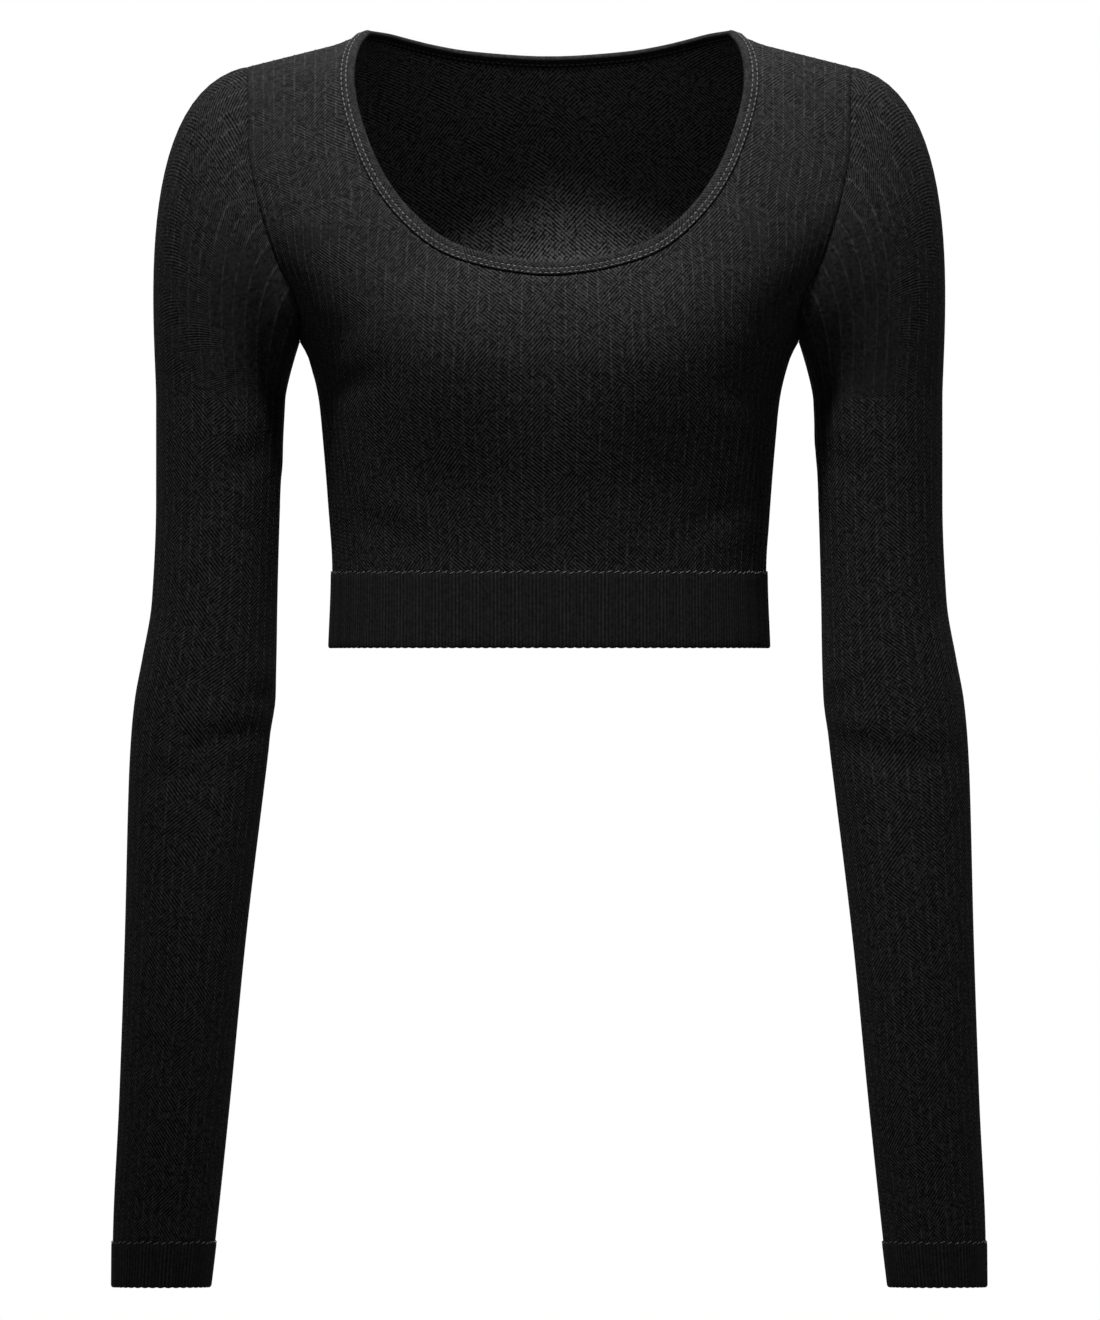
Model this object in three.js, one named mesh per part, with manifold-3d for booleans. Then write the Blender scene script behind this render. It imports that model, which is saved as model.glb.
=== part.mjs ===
/*
 * Long-sleeved crop top in a ribbed knit, filled out as if worn, with nobody in it.
 *
 * Millimetres. X runs across the chest, -Y is the front and +Z is up. The origin lies midway
 * between the two points where the neckline crosses the shoulders.
 *
 * The torso is one smooth implicit surface. The front and back panels, the binding and the hem
 * band are all built from its points, and each sleeve starts on the armhole edges of the panels.
 */
import * as THREE from 'three';
import Module from 'manifold-3d';

// Driving dimensions

const SEAM_GAP = 0.3;
const WALL = 1.5;
const RIB_HEIGHT = 0.5;

const PANEL = {
  ribs: 58,
  innerStep: 4,
  armholeRows: 9,
  foldSamples: 64,
  easeRows: [2, 8],
  easePower: 6,
};
const SLEEVE = { ribs: 36, innerStep: 3, capRows: 8 };

const ARMHOLE = { gap: 0.45, rim: 2.2, crowding: 1.25 };
const UNDERARM_Z = -167.4;
const SHOULDER = { tipX: 163, tipZ: -19, slope: 0.25, roundingZ: -95 };

// How the shoulder line rises to the neck: by how much, and between which distances across
const NECK_RISE = { height: 2.4, from: 118, to: 98 };
const SECTION_POWER = 2.2;

const HEM = { topZ: -292, bottomZ: -333, proud: 0.8, inset: 1.4, columns: 80 };
const CUFF = { topZ: -653, bottomZ: -677.5, proud: 0.7, inset: 1.4, columns: 36 };
const BINDING = { width: 8, gap: 0.4, proud: 0.7, inset: 1.8, round: 0.7, stations: 40 };

// Soft fullness of the chest, on both sides of the centre line, and the dip between
const FULLNESS = { height: 4.5, x: 60, z: -172, spreadX: 36, spreadZ: 46 };
const DIP = { height: -2.5, x: 0, z: -178, spreadX: 28, spreadZ: 50 };

// Sections of the torso. `reach` is the half width at which a section closes, or would if the
// armhole didn't end it first, and the depths are measured at the centre line.
const TORSO = [
  { z: -333, reach: 118.4, front: 84, back: 80 },
  { z: -292, reach: 117.0, front: 86, back: 82 },
  { z: -253, reach: 119.4, front: 91, back: 87 },
  { z: -220, reach: 122.1, front: 98, back: 93 },
  { z: -199, reach: 124.3, front: 102, back: 97 },
  { z: -177, reach: 129.7, front: 104, back: 99.5 },
  { z: UNDERARM_Z, reach: 134.6, front: 103, back: 100 },
  { z: -155, reach: 142, front: 100.5, back: 100.5 },
  { z: -142, reach: 152, front: 96, back: 100.5 },
  { z: -125, reach: 170, front: 88, back: 100 },
  { z: -105, reach: 190, front: 79, back: 97 },
  { z: -86, reach: 202, front: 70, back: 93 },
  { z: -63, reach: 205, front: 61, back: 86 },
  { z: -38, reach: 205, front: 54, back: 78 },
  { z: 30, reach: 205, front: 46, back: 64 },
];

// The armhole edge seen from the front, from the underarm to the shoulder
const ARMHOLE_EDGE = [
  { z: UNDERARM_Z, x: 134.6 },
  { z: -155, x: 134.2 },
  { z: -142, x: 137.3 },
  { z: -125, x: 146.4 },
  { z: -105, x: 153.5 },
  { z: -86, x: 158.3 },
  { z: -63, x: 162.1 },
  { z: -38, x: 162.4 },
  { z: SHOULDER.tipZ, x: SHOULDER.tipX },
];

// Heights of the panel rows below the underarm
const PANEL_ROWS = [HEM.topZ, -247, -209, -184, UNDERARM_Z];

// The edge of the neck opening, seen from the front, from its lowest point to the shoulder
const NECK_FRONT = [
  { x: 0, z: -125.3 },
  { x: 6, z: -125.16 },
  { x: 30.2, z: -121.7 },
  { x: 55, z: -113 },
  { x: 74.5, z: -97 },
  { x: 89.1, z: -77.2 },
  { x: 99.4, z: -53 },
  { x: 104.6, z: -30.8 },
  { x: 104.2, z: -15.4 },
  { x: 101.2, z: -6 },
  { x: 96.5, z: 0 },
];

// The same edge behind, from the shoulder to the centre of the back
const NECK_BACK = [
  { x: 96.5, z: 0 },
  { x: 86, z: -1.2 },
  { x: 73.5, z: -4.1 },
  { x: 62.2, z: -6.6 },
  { x: 46, z: -9.3 },
  { x: 20, z: -11.5 },
  { x: 6, z: -12.1 },
  { x: 0, z: -12.1 },
];

// Sections of a sleeve. `outer` and `inner` are its two edges seen from the front, `middle` is
// its centre from front to back and `depth` is half its size that way.
const TUBE = [
  { z: -199, outer: 212.3, inner: 142.7, middle: 6.5, depth: 45 },
  { z: -253, outer: 212.3, inner: 145.4, middle: 6, depth: 42 },
  { z: -307, outer: 214.5, inner: 146.9, middle: 4, depth: 39.5 },
  { z: -339, outer: 219.8, inner: 147.4, middle: 2, depth: 38.5 },
  { z: -361, outer: 223.8, inner: 148.2, middle: 0.5, depth: 38 },
  { z: -382, outer: 225.8, inner: 150.8, middle: -1, depth: 37 },
  { z: -404, outer: 226.9, inner: 153.5, middle: -3, depth: 36 },
  { z: -490, outer: 229.0, inner: 163.8, middle: -11, depth: 33.5 },
  { z: -577, outer: 231.9, inner: 172.2, middle: -19, depth: 30 },
  { z: -653, outer: 235.2, inner: 180.2, middle: -25, depth: 27 },
  { z: -680, outer: 235.4, inner: 183.4, middle: -27, depth: 26 },
];

// Heights of the sleeve rows below the cap
const TUBE_ROWS = [-199, -250, -305, -345, -362, -374, -388, -447, -550, CUFF.topZ];

// How far the sleeve cap runs on in the direction that it leaves the armhole, and in the
// direction of the tube that it turns into, as shares of the way between the two
const CAP = { start: 1.05, end: 0.55 };

// The soft fold across the front of each elbow
const ELBOW = { depth: 2.2, z: -373, spread: 11, tilt: 0.25 };

const COLOURS = {
  panel: 0x242426,
  sleeve: 0x202022,
  binding: 0x2e2e30,
  band: 0x1c1c1e,
};

const FRONT = -1;
const BACK = 1;

// Curves through the section tables

/** A smooth function of height through one column of a table, with no overshoot. */
function columnOf(table, name) {
  const rows = table.length;
  const secant = (i) => (table[i + 1][name] - table[i][name]) / (table[i + 1].z - table[i].z);
  const slopes = table.map((row, i) => {
    if (i === 0) return secant(0);
    if (i === rows - 1) return secant(rows - 2);
    const before = secant(i - 1);
    const after = secant(i);
    return before * after <= 0 ? 0 : (2 * before * after) / (before + after);
  });
  return (z) => {
    const rising = table[rows - 1].z > table[0].z;
    const past = (row) => (rising ? row.z <= z : row.z >= z);
    let i = 0;
    while (i < rows - 2 && past(table[i + 1])) i += 1;
    const span = table[i + 1].z - table[i].z;
    const t = THREE.MathUtils.clamp((z - table[i].z) / span, 0, 1);
    return hermite(table[i][name], slopes[i] * span, table[i + 1][name], slopes[i + 1] * span, t);
  };
}

function hermite(from, fromSlope, to, toSlope, t) {
  const u = 1 - t;
  return (
    (1 + 2 * t) * u * u * from + t * u * u * fromSlope + t * t * (3 - 2 * t) * to - t * t * u * toSlope
  );
}

/** A finely sampled line with the length from its start to each sample. */
function measured(samples) {
  const lengths = [0];
  for (let i = 1; i < samples.length; i += 1) {
    lengths.push(lengths[i - 1] + samples[i].distanceTo(samples[i - 1]));
  }
  return { samples, lengths, total: lengths[lengths.length - 1] };
}

/** Points of a measured line at the wanted lengths, which rise from zero to its total. */
function pointsAt({ samples, lengths }, wanted) {
  let at = 0;
  return wanted.map((length) => {
    while (at < samples.length - 2 && lengths[at + 1] < length) at += 1;
    const share = (length - lengths[at]) / (lengths[at + 1] - lengths[at]);
    return samples[at].clone().lerp(samples[at + 1], share);
  });
}

const shares = (intervals) => Array.from({ length: intervals + 1 }, (_, k) => k / intervals);

/** Points spaced evenly by length along a finely sampled line. */
function evenly(samples, intervals) {
  const line = measured(samples);
  return pointsAt(line, shares(intervals).map((share) => share * line.total));
}

// The torso surface

const torso = {
  reach: columnOf(TORSO, 'reach'),
  front: columnOf(TORSO, 'front'),
  back: columnOf(TORSO, 'back'),
  armhole: columnOf(ARMHOLE_EDGE, 'x'),
};

/** Half width of the panels: out to the side line below the underarm, to the armhole above. */
const panelEdge = (z) => (z <= UNDERARM_Z ? torso.reach(z) : torso.armhole(z));

function shoulderZ(x) {
  const rise = THREE.MathUtils.smoothstep(-Math.abs(x), -NECK_RISE.from, -NECK_RISE.to);
  return SHOULDER.tipZ + (SHOULDER.tipX - Math.abs(x)) * SHOULDER.slope + NECK_RISE.height * rise;
}

function swell(bump, x, z) {
  const across = (Math.abs(x) - bump.x) / bump.spreadX;
  const up = (z - bump.z) / bump.spreadZ;
  return bump.height * Math.exp(-across * across - up * up);
}

/** Depth of the torso from its middle plane, before the shoulders round it over. */
function openDepth(side, x, z) {
  const share = Math.min(Math.abs(x) / torso.reach(z), 1);
  const across = (1 - share ** SECTION_POWER) ** (1 / SECTION_POWER);
  if (side === BACK) return torso.back(z) * across;
  return (torso.front(z) + swell(FULLNESS, x, z) + swell(DIP, x, z)) * across;
}

function towardsShoulder(x, z) {
  const share = (z - SHOULDER.roundingZ) / (shoulderZ(x) - SHOULDER.roundingZ);
  return THREE.MathUtils.clamp(share, 0, 1);
}

/** The point of the front or back surface at one place seen from the front. */
function onTorso(side, x, z) {
  const rounding = Math.sqrt(1 - towardsShoulder(x, z) ** 3);
  return new THREE.Vector3(x, side * openDepth(side, x, z) * rounding, z);
}

/** Zero on the torso surface and growing outwards, smooth across the shoulder line. */
function torsoField(p) {
  const depth = Math.max(openDepth(p.y < 0 ? FRONT : BACK, p.x, p.z), 1);
  const share = (p.z - SHOULDER.roundingZ) / (shoulderZ(p.x) - SHOULDER.roundingZ);
  return (p.y / depth) ** 2 + Math.max(share, 0) ** 3 - 1;
}

function torsoGradient(p) {
  const step = 0.05;
  const along = (axis) => {
    const ahead = p.clone().addScaledVector(axis, step);
    const behind = p.clone().addScaledVector(axis, -step);
    return (torsoField(ahead) - torsoField(behind)) / (2 * step);
  };
  const axes = [
    new THREE.Vector3(1, 0, 0),
    new THREE.Vector3(0, 1, 0),
    new THREE.Vector3(0, 0, 1),
  ];
  return new THREE.Vector3(...axes.map(along));
}

const torsoNormal = (p) => torsoGradient(p).normalize();

/** Moves a point that is near the torso surface onto it. */
function ontoTorso(point) {
  const p = point.clone();
  for (let pass = 0; pass < 3; pass += 1) {
    const gradient = torsoGradient(p);
    p.addScaledVector(gradient, -torsoField(p) / gradient.lengthSq());
  }
  return p;
}

// Closed solids from grids of points

/** Normals of a grid of points, from its neighbours, facing as `outward` says. */
function gridNormals(grid, outward, round) {
  const rows = grid.length;
  const columns = grid[0].length;
  const columnAt = (c) => (round ? (c + columns) % columns : THREE.MathUtils.clamp(c, 0, columns - 1));
  return grid.map((row, r) =>
    row.map((point, c) => {
      const across = row[columnAt(c + 1)].clone().sub(row[columnAt(c - 1)]);
      const below = grid[Math.max(r - 1, 0)][c];
      const above = grid[Math.min(r + 1, rows - 1)][c];
      return across.cross(above.clone().sub(below)).normalize().multiplyScalar(outward);
    }),
  );
}

/**
 * A closed wall between an outer grid and a coarser inner one that keeps every `step`th column.
 * Both have the same rows. A round wall meets itself, and an open one has rims down its sides.
 */
function closedWall(outer, inner, step, round) {
  const rows = outer.length;
  const outerColumns = outer[0].length;
  const innerColumns = inner[0].length;
  const points = [...outer.flat(), ...inner.flat()];
  const innerStart = rows * outerColumns;
  const out = (r, c) => r * outerColumns + (round ? c % outerColumns : c);
  const inn = (r, c) => innerStart + r * innerColumns + (round ? c % innerColumns : c);
  const triangles = [];
  const quad = (a, b, c, d) => triangles.push([a, b, c], [a, c, d]);
  const outerCells = round ? outerColumns : outerColumns - 1;
  const innerCells = round ? innerColumns : innerColumns - 1;
  for (let r = 0; r < rows - 1; r += 1) {
    for (let c = 0; c < outerCells; c += 1) {
      quad(out(r, c), out(r, c + 1), out(r + 1, c + 1), out(r + 1, c));
    }
    for (let c = 0; c < innerCells; c += 1) {
      quad(inn(r, c + 1), inn(r, c), inn(r + 1, c), inn(r + 1, c + 1));
    }
    if (!round) {
      quad(inn(r, 0), out(r, 0), out(r + 1, 0), inn(r + 1, 0));
      quad(out(r, outerCells), inn(r, innerCells), inn(r + 1, innerCells), out(r + 1, outerCells));
    }
  }
  rimAlongRow(triangles, out, inn, 0, innerCells, step, false);
  rimAlongRow(triangles, out, inn, rows - 1, innerCells, step, true);
  return solidFrom(points, triangles);
}

/** Joins the fine outer columns of a first or last row to the coarse inner ones. */
function rimAlongRow(triangles, out, inn, row, innerCells, step, top) {
  const face = (a, b, c) => triangles.push(top ? [a, b, c] : [a, c, b]);
  const half = Math.floor(step / 2);
  for (let k = 0; k < innerCells; k += 1) {
    for (let s = 0; s < step; s += 1) {
      const nearest = s < half ? k : k + 1;
      face(out(row, k * step + s), out(row, k * step + s + 1), inn(row, nearest));
      if (s === half) face(out(row, k * step + s), inn(row, k + 1), inn(row, k));
    }
  }
}

/** A ring swept round a list of stations, each a closed outline of the same number of points. */
function closedRing(stations) {
  const size = stations[0].length;
  const count = stations.length;
  const at = (s, i) => (s % count) * size + (i % size);
  const triangles = [];
  for (let s = 0; s < count; s += 1) {
    for (let i = 0; i < size; i += 1) {
      triangles.push([at(s, i), at(s + 1, i), at(s + 1, i + 1)], [at(s, i), at(s + 1, i + 1), at(s, i + 1)]);
    }
  }
  return solidFrom(stations.flat(), triangles);
}

/** A geometry with its faces turned outwards. */
function solidFrom(points, triangles) {
  let volume = 0;
  for (const [a, b, c] of triangles) {
    volume += points[a].dot(points[b].clone().cross(points[c]));
  }
  const facing = volume < 0 ? triangles.map(([a, b, c]) => [a, c, b]) : triangles;
  const geometry = new THREE.BufferGeometry();
  const flat = points.flatMap((p) => [p.x, p.y, p.z]);
  geometry.setAttribute('position', new THREE.Float32BufferAttribute(flat, 3));
  geometry.setIndex(facing.flat());
  geometry.computeVertexNormals();
  return geometry;
}

// The front and back panels

/** One half row of a panel, from the centre out to its edge, finely sampled. */
function halfRow(side, edgeX, heightAt) {
  const samples = [];
  for (let k = 0; k <= PANEL.foldSamples; k += 1) {
    const x = edgeX * Math.sin(((k / PANEL.foldSamples) * Math.PI) / 2);
    samples.push(onTorso(side, x, heightAt(x)));
  }
  return measured(samples);
}

/** Heights where the armhole edge is met by the rows above the underarm, closer at the top. */
function armholeHeights(side) {
  const samples = [];
  for (let k = 0; k <= 4 * PANEL.foldSamples; k += 1) {
    const share = (1 - Math.cos((Math.PI * k) / (4 * PANEL.foldSamples))) / 2;
    const z = THREE.MathUtils.lerp(UNDERARM_Z, SHOULDER.tipZ, share);
    samples.push(onTorso(side, panelEdge(z), z));
  }
  const line = measured(samples);
  const wanted = shares(PANEL.armholeRows).map((t) => line.total * (1 - (1 - t) ** ARMHOLE.crowding));
  return pointsAt(line, wanted).map((p) => p.z);
}

/**
 * How long the half rows would be if the armhole didn't cut into them: the columns keep to this
 * past the underarm, and only those near the edge spread or close up to meet it.
 */
function easedLengths(lines) {
  const from = PANEL.easeRows[0];
  const to = PANEL.easeRows[1];
  const heights = lines.map((line) => line.samples[0].z);
  return lines.map((line, r) => {
    if (r < from || r > to) return line.total;
    const share = (heights[r] - heights[from]) / (heights[to] - heights[from]);
    return THREE.MathUtils.lerp(lines[from].total, lines[to].total, share);
  });
}

/** The surface of one panel as rows from the hem band up to the shoulder line. */
function panelGrid(side) {
  const lines = PANEL_ROWS.map((z) => halfRow(side, panelEdge(z), () => z));
  for (const z of armholeHeights(side).slice(1)) {
    const edgeX = panelEdge(z);
    const rise = (z - UNDERARM_Z) / (shoulderZ(edgeX) - UNDERARM_Z);
    lines.push(halfRow(side, edgeX, (x) => UNDERARM_Z + rise * (shoulderZ(x) - UNDERARM_Z)));
  }
  const eased = easedLengths(lines);
  const mirrored = (p) => new THREE.Vector3(-p.x, p.y, p.z);
  return lines.map((line, r) => {
    const spare = line.total - eased[r];
    const wanted = shares(PANEL.ribs).map((f) => f * eased[r] + spare * f ** PANEL.easePower);
    const half = pointsAt(line, wanted);
    const row = [...half.slice(1).reverse().map(mirrored), ...half];
    for (const p of row) p.y = side * Math.max(Math.abs(p.y), SEAM_GAP / 2);
    return row;
  });
}

/** Normals of a panel, level where it meets the other panel at a side or shoulder seam. */
function panelNormals(grid, side) {
  const normals = gridNormals(grid, -side, false);
  const last = grid.length - 1;
  normals.forEach((row, r) => {
    row.forEach((normal, c) => {
      const atSide = r < PANEL_ROWS.length && (c === 0 || c === row.length - 1);
      if (atSide || r === last) normal.setY(0).normalize();
    });
  });
  return normals;
}

const raised = (column) => (column % 2 === 1 ? RIB_HEIGHT : 0);

/** The direction in which the sleeve leaves the armhole. */
function leaving(turn) {
  const rise = (1 - Math.cos(2 * Math.PI * turn)) / 2;
  const outward = 0.3 + 0.7 * rise ** 0.6;
  const forward = -0.15 * Math.sin(2 * Math.PI * turn);
  const down = -THREE.MathUtils.lerp(0.95, 0.2, rise);
  return new THREE.Vector3(outward, forward, down).normalize();
}

/**
 * The armhole edge of one panel on the +X side, from the underarm up. Panel and sleeve are cut
 * along one shared direction, `through` the wall, and lie apart along `off`.
 */
function armholeFrames(grid, normals, side) {
  const first = PANEL_ROWS.length - 1;
  const edge = grid[0].length - 1;
  const count = PANEL.armholeRows;
  const frames = [];
  for (let j = 0; j <= count; j += 1) {
    const r = first + j;
    const along = new THREE.Vector3(0, j === 0 ? -1 : 1, 0);
    if (j > 0 && j < count) {
      along.subVectors(grid[r + 1][edge], grid[r - 1][edge]).multiplyScalar(-side).normalize();
    }
    const turn = side === FRONT ? j / (2 * count) : 1 - j / (2 * count);
    const out = leaving(turn);
    const panelNormal = normals[r][edge];
    const sleeveNormal = out.clone().cross(along).normalize();
    const through = panelNormal.clone().add(sleeveNormal).normalize().negate();
    const off = along.clone().cross(through).normalize();
    if (off.dot(out) < 0) off.negate();
    const length = Math.min(WALL / Math.abs(through.dot(panelNormal)), ARMHOLE.rim);
    frames.push({ point: grid[r][edge], through: through.multiplyScalar(length), off });
  }
  return frames;
}

/** A panel with its armhole edge and its closed solid. */
function makePanel(side) {
  const grid = panelGrid(side);
  const normals = panelNormals(grid, side);
  const armhole = armholeFrames(grid, normals, side);
  const last = grid.length - 1;
  const outer = grid.map((row, r) =>
    row.map((p, c) => p.clone().addScaledVector(normals[r][c], r === last ? 0 : raised(c))),
  );
  const inner = grid.map((row, r) =>
    row
      .map((p, c) => p.clone().addScaledVector(normals[r][c], -WALL))
      .filter((p, c) => c % PANEL.innerStep === 0),
  );
  armhole.forEach(({ point, through }, j) => {
    const row = inner[PANEL_ROWS.length - 1 + j];
    const cut = point.clone().add(through);
    row[row.length - 1] = cut;
    row[0] = new THREE.Vector3(-cut.x, cut.y, cut.z);
  });
  return { armhole, solid: closedWall(outer, inner, PANEL.innerStep, false) };
}

// The neckline

/** Points of the neck edge on one side of the body, from the centre front to the centre back. */
function neckHalf() {
  const samples = [];
  const along = (rows) =>
    new THREE.CatmullRomCurve3(rows.map((row) => new THREE.Vector3(row.x, 0, row.z)), false, 'centripetal');
  const front = along(NECK_FRONT);
  const back = along(NECK_BACK);
  const fine = 6 * BINDING.stations;
  for (let k = 0; k <= fine; k += 1) {
    const { x, z } = front.getPoint(1 - (1 - k / fine) ** 2);
    samples.push(onTorso(FRONT, x, Math.min(z, shoulderZ(x))));
  }
  for (let k = 1; k <= fine; k += 1) {
    const { x, z } = back.getPoint((k / fine) ** 2);
    samples.push(onTorso(BACK, x, Math.min(z, shoulderZ(x))));
  }
  return evenly(samples, BINDING.stations);
}

/** The whole neck edge, with the direction on the torso surface away from the opening. */
function neckLoop() {
  const half = neckHalf();
  const mirrored = half.slice(1, -1).reverse().map((p) => new THREE.Vector3(-p.x, p.y, p.z));
  const loop = [...half, ...mirrored];
  return loop.map((point, i) => {
    const ahead = loop[(i + 1) % loop.length];
    const behind = loop[(i + loop.length - 1) % loop.length];
    const away = torsoNormal(point).cross(ahead.clone().sub(behind)).normalize();
    return { point, away: away.negate() };
  });
}

/** A point of the binding: its distance from the neck edge and its height off the surface. */
function bindingPoint(station, across, height) {
  const base = ontoTorso(station.point.clone().addScaledVector(station.away, across));
  return base.addScaledVector(torsoNormal(base), height);
}

function makeBinding(loop) {
  const { width, gap, proud, inset, round } = BINDING;
  const seam = width - gap;
  const outline = [
    { across: 0, height: (proud - inset) / 2 },
    { across: round, height: proud },
    { across: seam - round, height: proud },
    { across: seam, height: proud / 2 },
    { across: seam, height: -inset },
    { across: round, height: -inset },
  ];
  return closedRing(loop.map((s) => outline.map((o) => bindingPoint(s, o.across, o.height))));
}

/** What the neckline cuts away: a closed blade through the panels along the binding's edge. */
function neckCutter(loop) {
  const reach = 7;
  const above = new THREE.Vector3(0, -30, 120);
  const below = new THREE.Vector3(0, 0, -60);
  const high = loop.map((s) => bindingPoint(s, BINDING.width, reach));
  const low = loop.map((s) => bindingPoint(s, BINDING.width, -reach));
  const count = loop.length;
  const triangles = [];
  for (let i = 0; i < count; i += 1) {
    const next = (i + 1) % count;
    triangles.push([i, next, count + next], [i, count + next, count + i]);
    triangles.push([next, i, 2 * count], [count + i, count + next, 2 * count + 1]);
  }
  return solidFrom([...high, ...low, above, below], triangles);
}

// Cutting one closed solid with another

const manifold = await Module();
manifold.setup();

function toManifold(geometry) {
  return new manifold.Manifold(
    new manifold.Mesh({
      numProp: 3,
      vertProperties: new Float32Array(geometry.getAttribute('position').array),
      triVerts: new Uint32Array(geometry.index.array),
    }),
  );
}

function cutAway(geometry, cutter) {
  const cut = toManifold(geometry).subtract(toManifold(cutter));
  const mesh = cut.getMesh();
  const result = new THREE.BufferGeometry();
  result.setAttribute('position', new THREE.Float32BufferAttribute(mesh.vertProperties, mesh.numProp));
  result.setIndex([...mesh.triVerts]);
  result.computeVertexNormals();
  return result;
}

// The sleeves

const tube = {
  outer: columnOf(TUBE, 'outer'),
  inner: columnOf(TUBE, 'inner'),
  middle: columnOf(TUBE, 'middle'),
  depth: columnOf(TUBE, 'depth'),
};

/** A point of the sleeve tube. `turn` goes once round from the underarm by way of the front. */
function onTube(turn, z) {
  const angle = 2 * Math.PI * turn;
  const half = (tube.outer(z) - tube.inner(z)) / 2;
  const x = tube.inner(z) + half * (1 - Math.cos(angle));
  const y = tube.middle(z) - tube.depth(z) * Math.sin(angle);
  const fold = (z - ELBOW.z - ELBOW.tilt * (x - tube.inner(z) - half)) / ELBOW.spread;
  const sink = ELBOW.depth * Math.exp(-fold * fold) * Math.max(Math.sin(angle), 0) ** 2;
  return new THREE.Vector3(x, y + sink, z);
}

/** The sleeve's own rim along one panel, from the underarm up: its outer and inner points. */
function sleeveRim(panel) {
  return panel.armhole.map(({ point, through, off }) => {
    const outer = point.clone().addScaledVector(off, ARMHOLE.gap);
    return { outer, inner: outer.clone().add(through) };
  });
}

/** The whole armhole as a loop of sleeve columns, from the underarm by way of the front. */
function armholeLoop(front, back) {
  const top = PANEL.armholeRows;
  const frontRim = sleeveRim(front);
  const backRim = sleeveRim(back);
  const middle = (a, b) => a.clone().add(b).multiplyScalar(0.5);
  const shared = (j) => ({
    outer: middle(frontRim[j].outer, backRim[j].outer),
    inner: middle(frontRim[j].inner, backRim[j].inner),
  });
  const knots = [
    shared(0),
    ...frontRim.slice(1, top),
    shared(top),
    ...backRim.slice(1, top).reverse(),
  ];
  const perKnot = (2 * SLEEVE.ribs) / knots.length;
  const loop = [];
  knots.forEach((knot, k) => {
    const next = knots[(k + 1) % knots.length];
    for (let s = 0; s < perKnot; s += 1) {
      const share = s / perKnot;
      loop.push({
        outer: knot.outer.clone().lerp(next.outer, share),
        inner: knot.inner.clone().lerp(next.inner, share),
      });
    }
  });
  return loop;
}

/** The sleeve surface on the +X side: the cap turning over from the armhole, then the tube. */
function sleeveGrid(loop) {
  const start = TUBE_ROWS[0];
  const rows = [];
  for (let r = 0; r < SLEEVE.capRows; r += 1) {
    const t = r / SLEEVE.capRows;
    rows.push(
      loop.map(({ outer: from }, c) => {
        const turn = c / loop.length;
        const to = onTube(turn, start);
        const way = from.distanceTo(to);
        const out = leaving(turn).multiplyScalar(CAP.start * way);
        const down = onTube(turn, start - 1).sub(to).multiplyScalar(CAP.end * way);
        return new THREE.Vector3(
          hermite(from.x, out.x, to.x, down.x, t),
          hermite(from.y, out.y, to.y, down.y, t),
          hermite(from.z, out.z, to.z, down.z, t),
        );
      }),
    );
  }
  for (const z of TUBE_ROWS) rows.push(loop.map((_, c) => onTube(c / loop.length, z)));
  return rows;
}

function makeSleeve(front, back) {
  const loop = armholeLoop(front, back);
  const grid = sleeveGrid(loop);
  const normals = gridNormals(grid, -1, true);
  const last = grid.length - 1;
  const outer = grid.map((row, r) =>
    row.map((p, c) => p.clone().addScaledVector(normals[r][c], r === 0 ? 0 : raised(c))),
  );
  const inner = grid.map((row, r) =>
    row
      .map((p, c) => (r === 0 ? loop[c].inner : innerPoint(p, normals[r][c], r === last)))
      .filter((p, c) => c % SLEEVE.innerStep === 0),
  );
  return closedWall(outer, inner, SLEEVE.innerStep, true);
}

/** A point of the inner face, kept level with the outer one along a straight cut. */
function innerPoint(p, normal, level) {
  const inward = level ? normal.clone().setZ(0).normalize() : normal;
  return p.clone().addScaledVector(inward, -WALL);
}

// The bands at the hem and the cuffs

/** A rounded band between two heights, from the points of the wall that it continues. */
function makeBand(columns, size, ringAt) {
  const top = size.topZ - SEAM_GAP;
  const bevel = 0.6;
  const outline = [
    { off: size.proud / 2, z: top },
    { off: size.proud, z: top - bevel },
    { off: size.proud, z: size.bottomZ + bevel },
    { off: (size.proud - size.inset) / 2, z: size.bottomZ },
    { off: -size.inset, z: size.bottomZ + bevel },
    { off: -size.inset, z: top },
  ];
  const rings = outline.map(({ z }) => ringAt(z));
  const stations = [];
  for (let c = 0; c < columns; c += 1) {
    stations.push(outline.map(({ off }, i) => moveOut(rings[i], c, off)));
  }
  return closedRing(stations);
}

/** A point of a level ring moved out in its own plane. */
function moveOut(ring, column, distance) {
  const ahead = ring[(column + 1) % ring.length];
  const behind = ring[(column + ring.length - 1) % ring.length];
  const outward = new THREE.Vector3(ahead.y - behind.y, behind.x - ahead.x, 0).normalize();
  return ring[column].clone().addScaledVector(outward, distance);
}

/** The torso outline at one height, once round against the clock seen from above. */
function torsoRing(z) {
  const quarter = (side) => {
    const samples = [];
    for (let k = 0; k <= PANEL.foldSamples; k += 1) {
      const x = panelEdge(z) * Math.sin(((k / PANEL.foldSamples) * Math.PI) / 2);
      samples.push(onTorso(side, x, z));
    }
    return evenly(samples, HEM.columns / 4);
  };
  const mirrored = (p) => new THREE.Vector3(-p.x, p.y, p.z);
  const front = quarter(FRONT);
  const back = quarter(BACK);
  return [
    ...front,
    ...back.slice(0, -1).reverse(),
    ...back.slice(1).map(mirrored),
    ...front.slice(1, -1).reverse().map(mirrored),
  ];
}

function tubeRing(z) {
  const ring = [];
  for (let c = 0; c < CUFF.columns; c += 1) ring.push(onTube(1 - c / CUFF.columns, z));
  return ring.reverse();
}

// Putting the garment together

const crop = new THREE.Group();
crop.name = 'crop_top';

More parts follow.
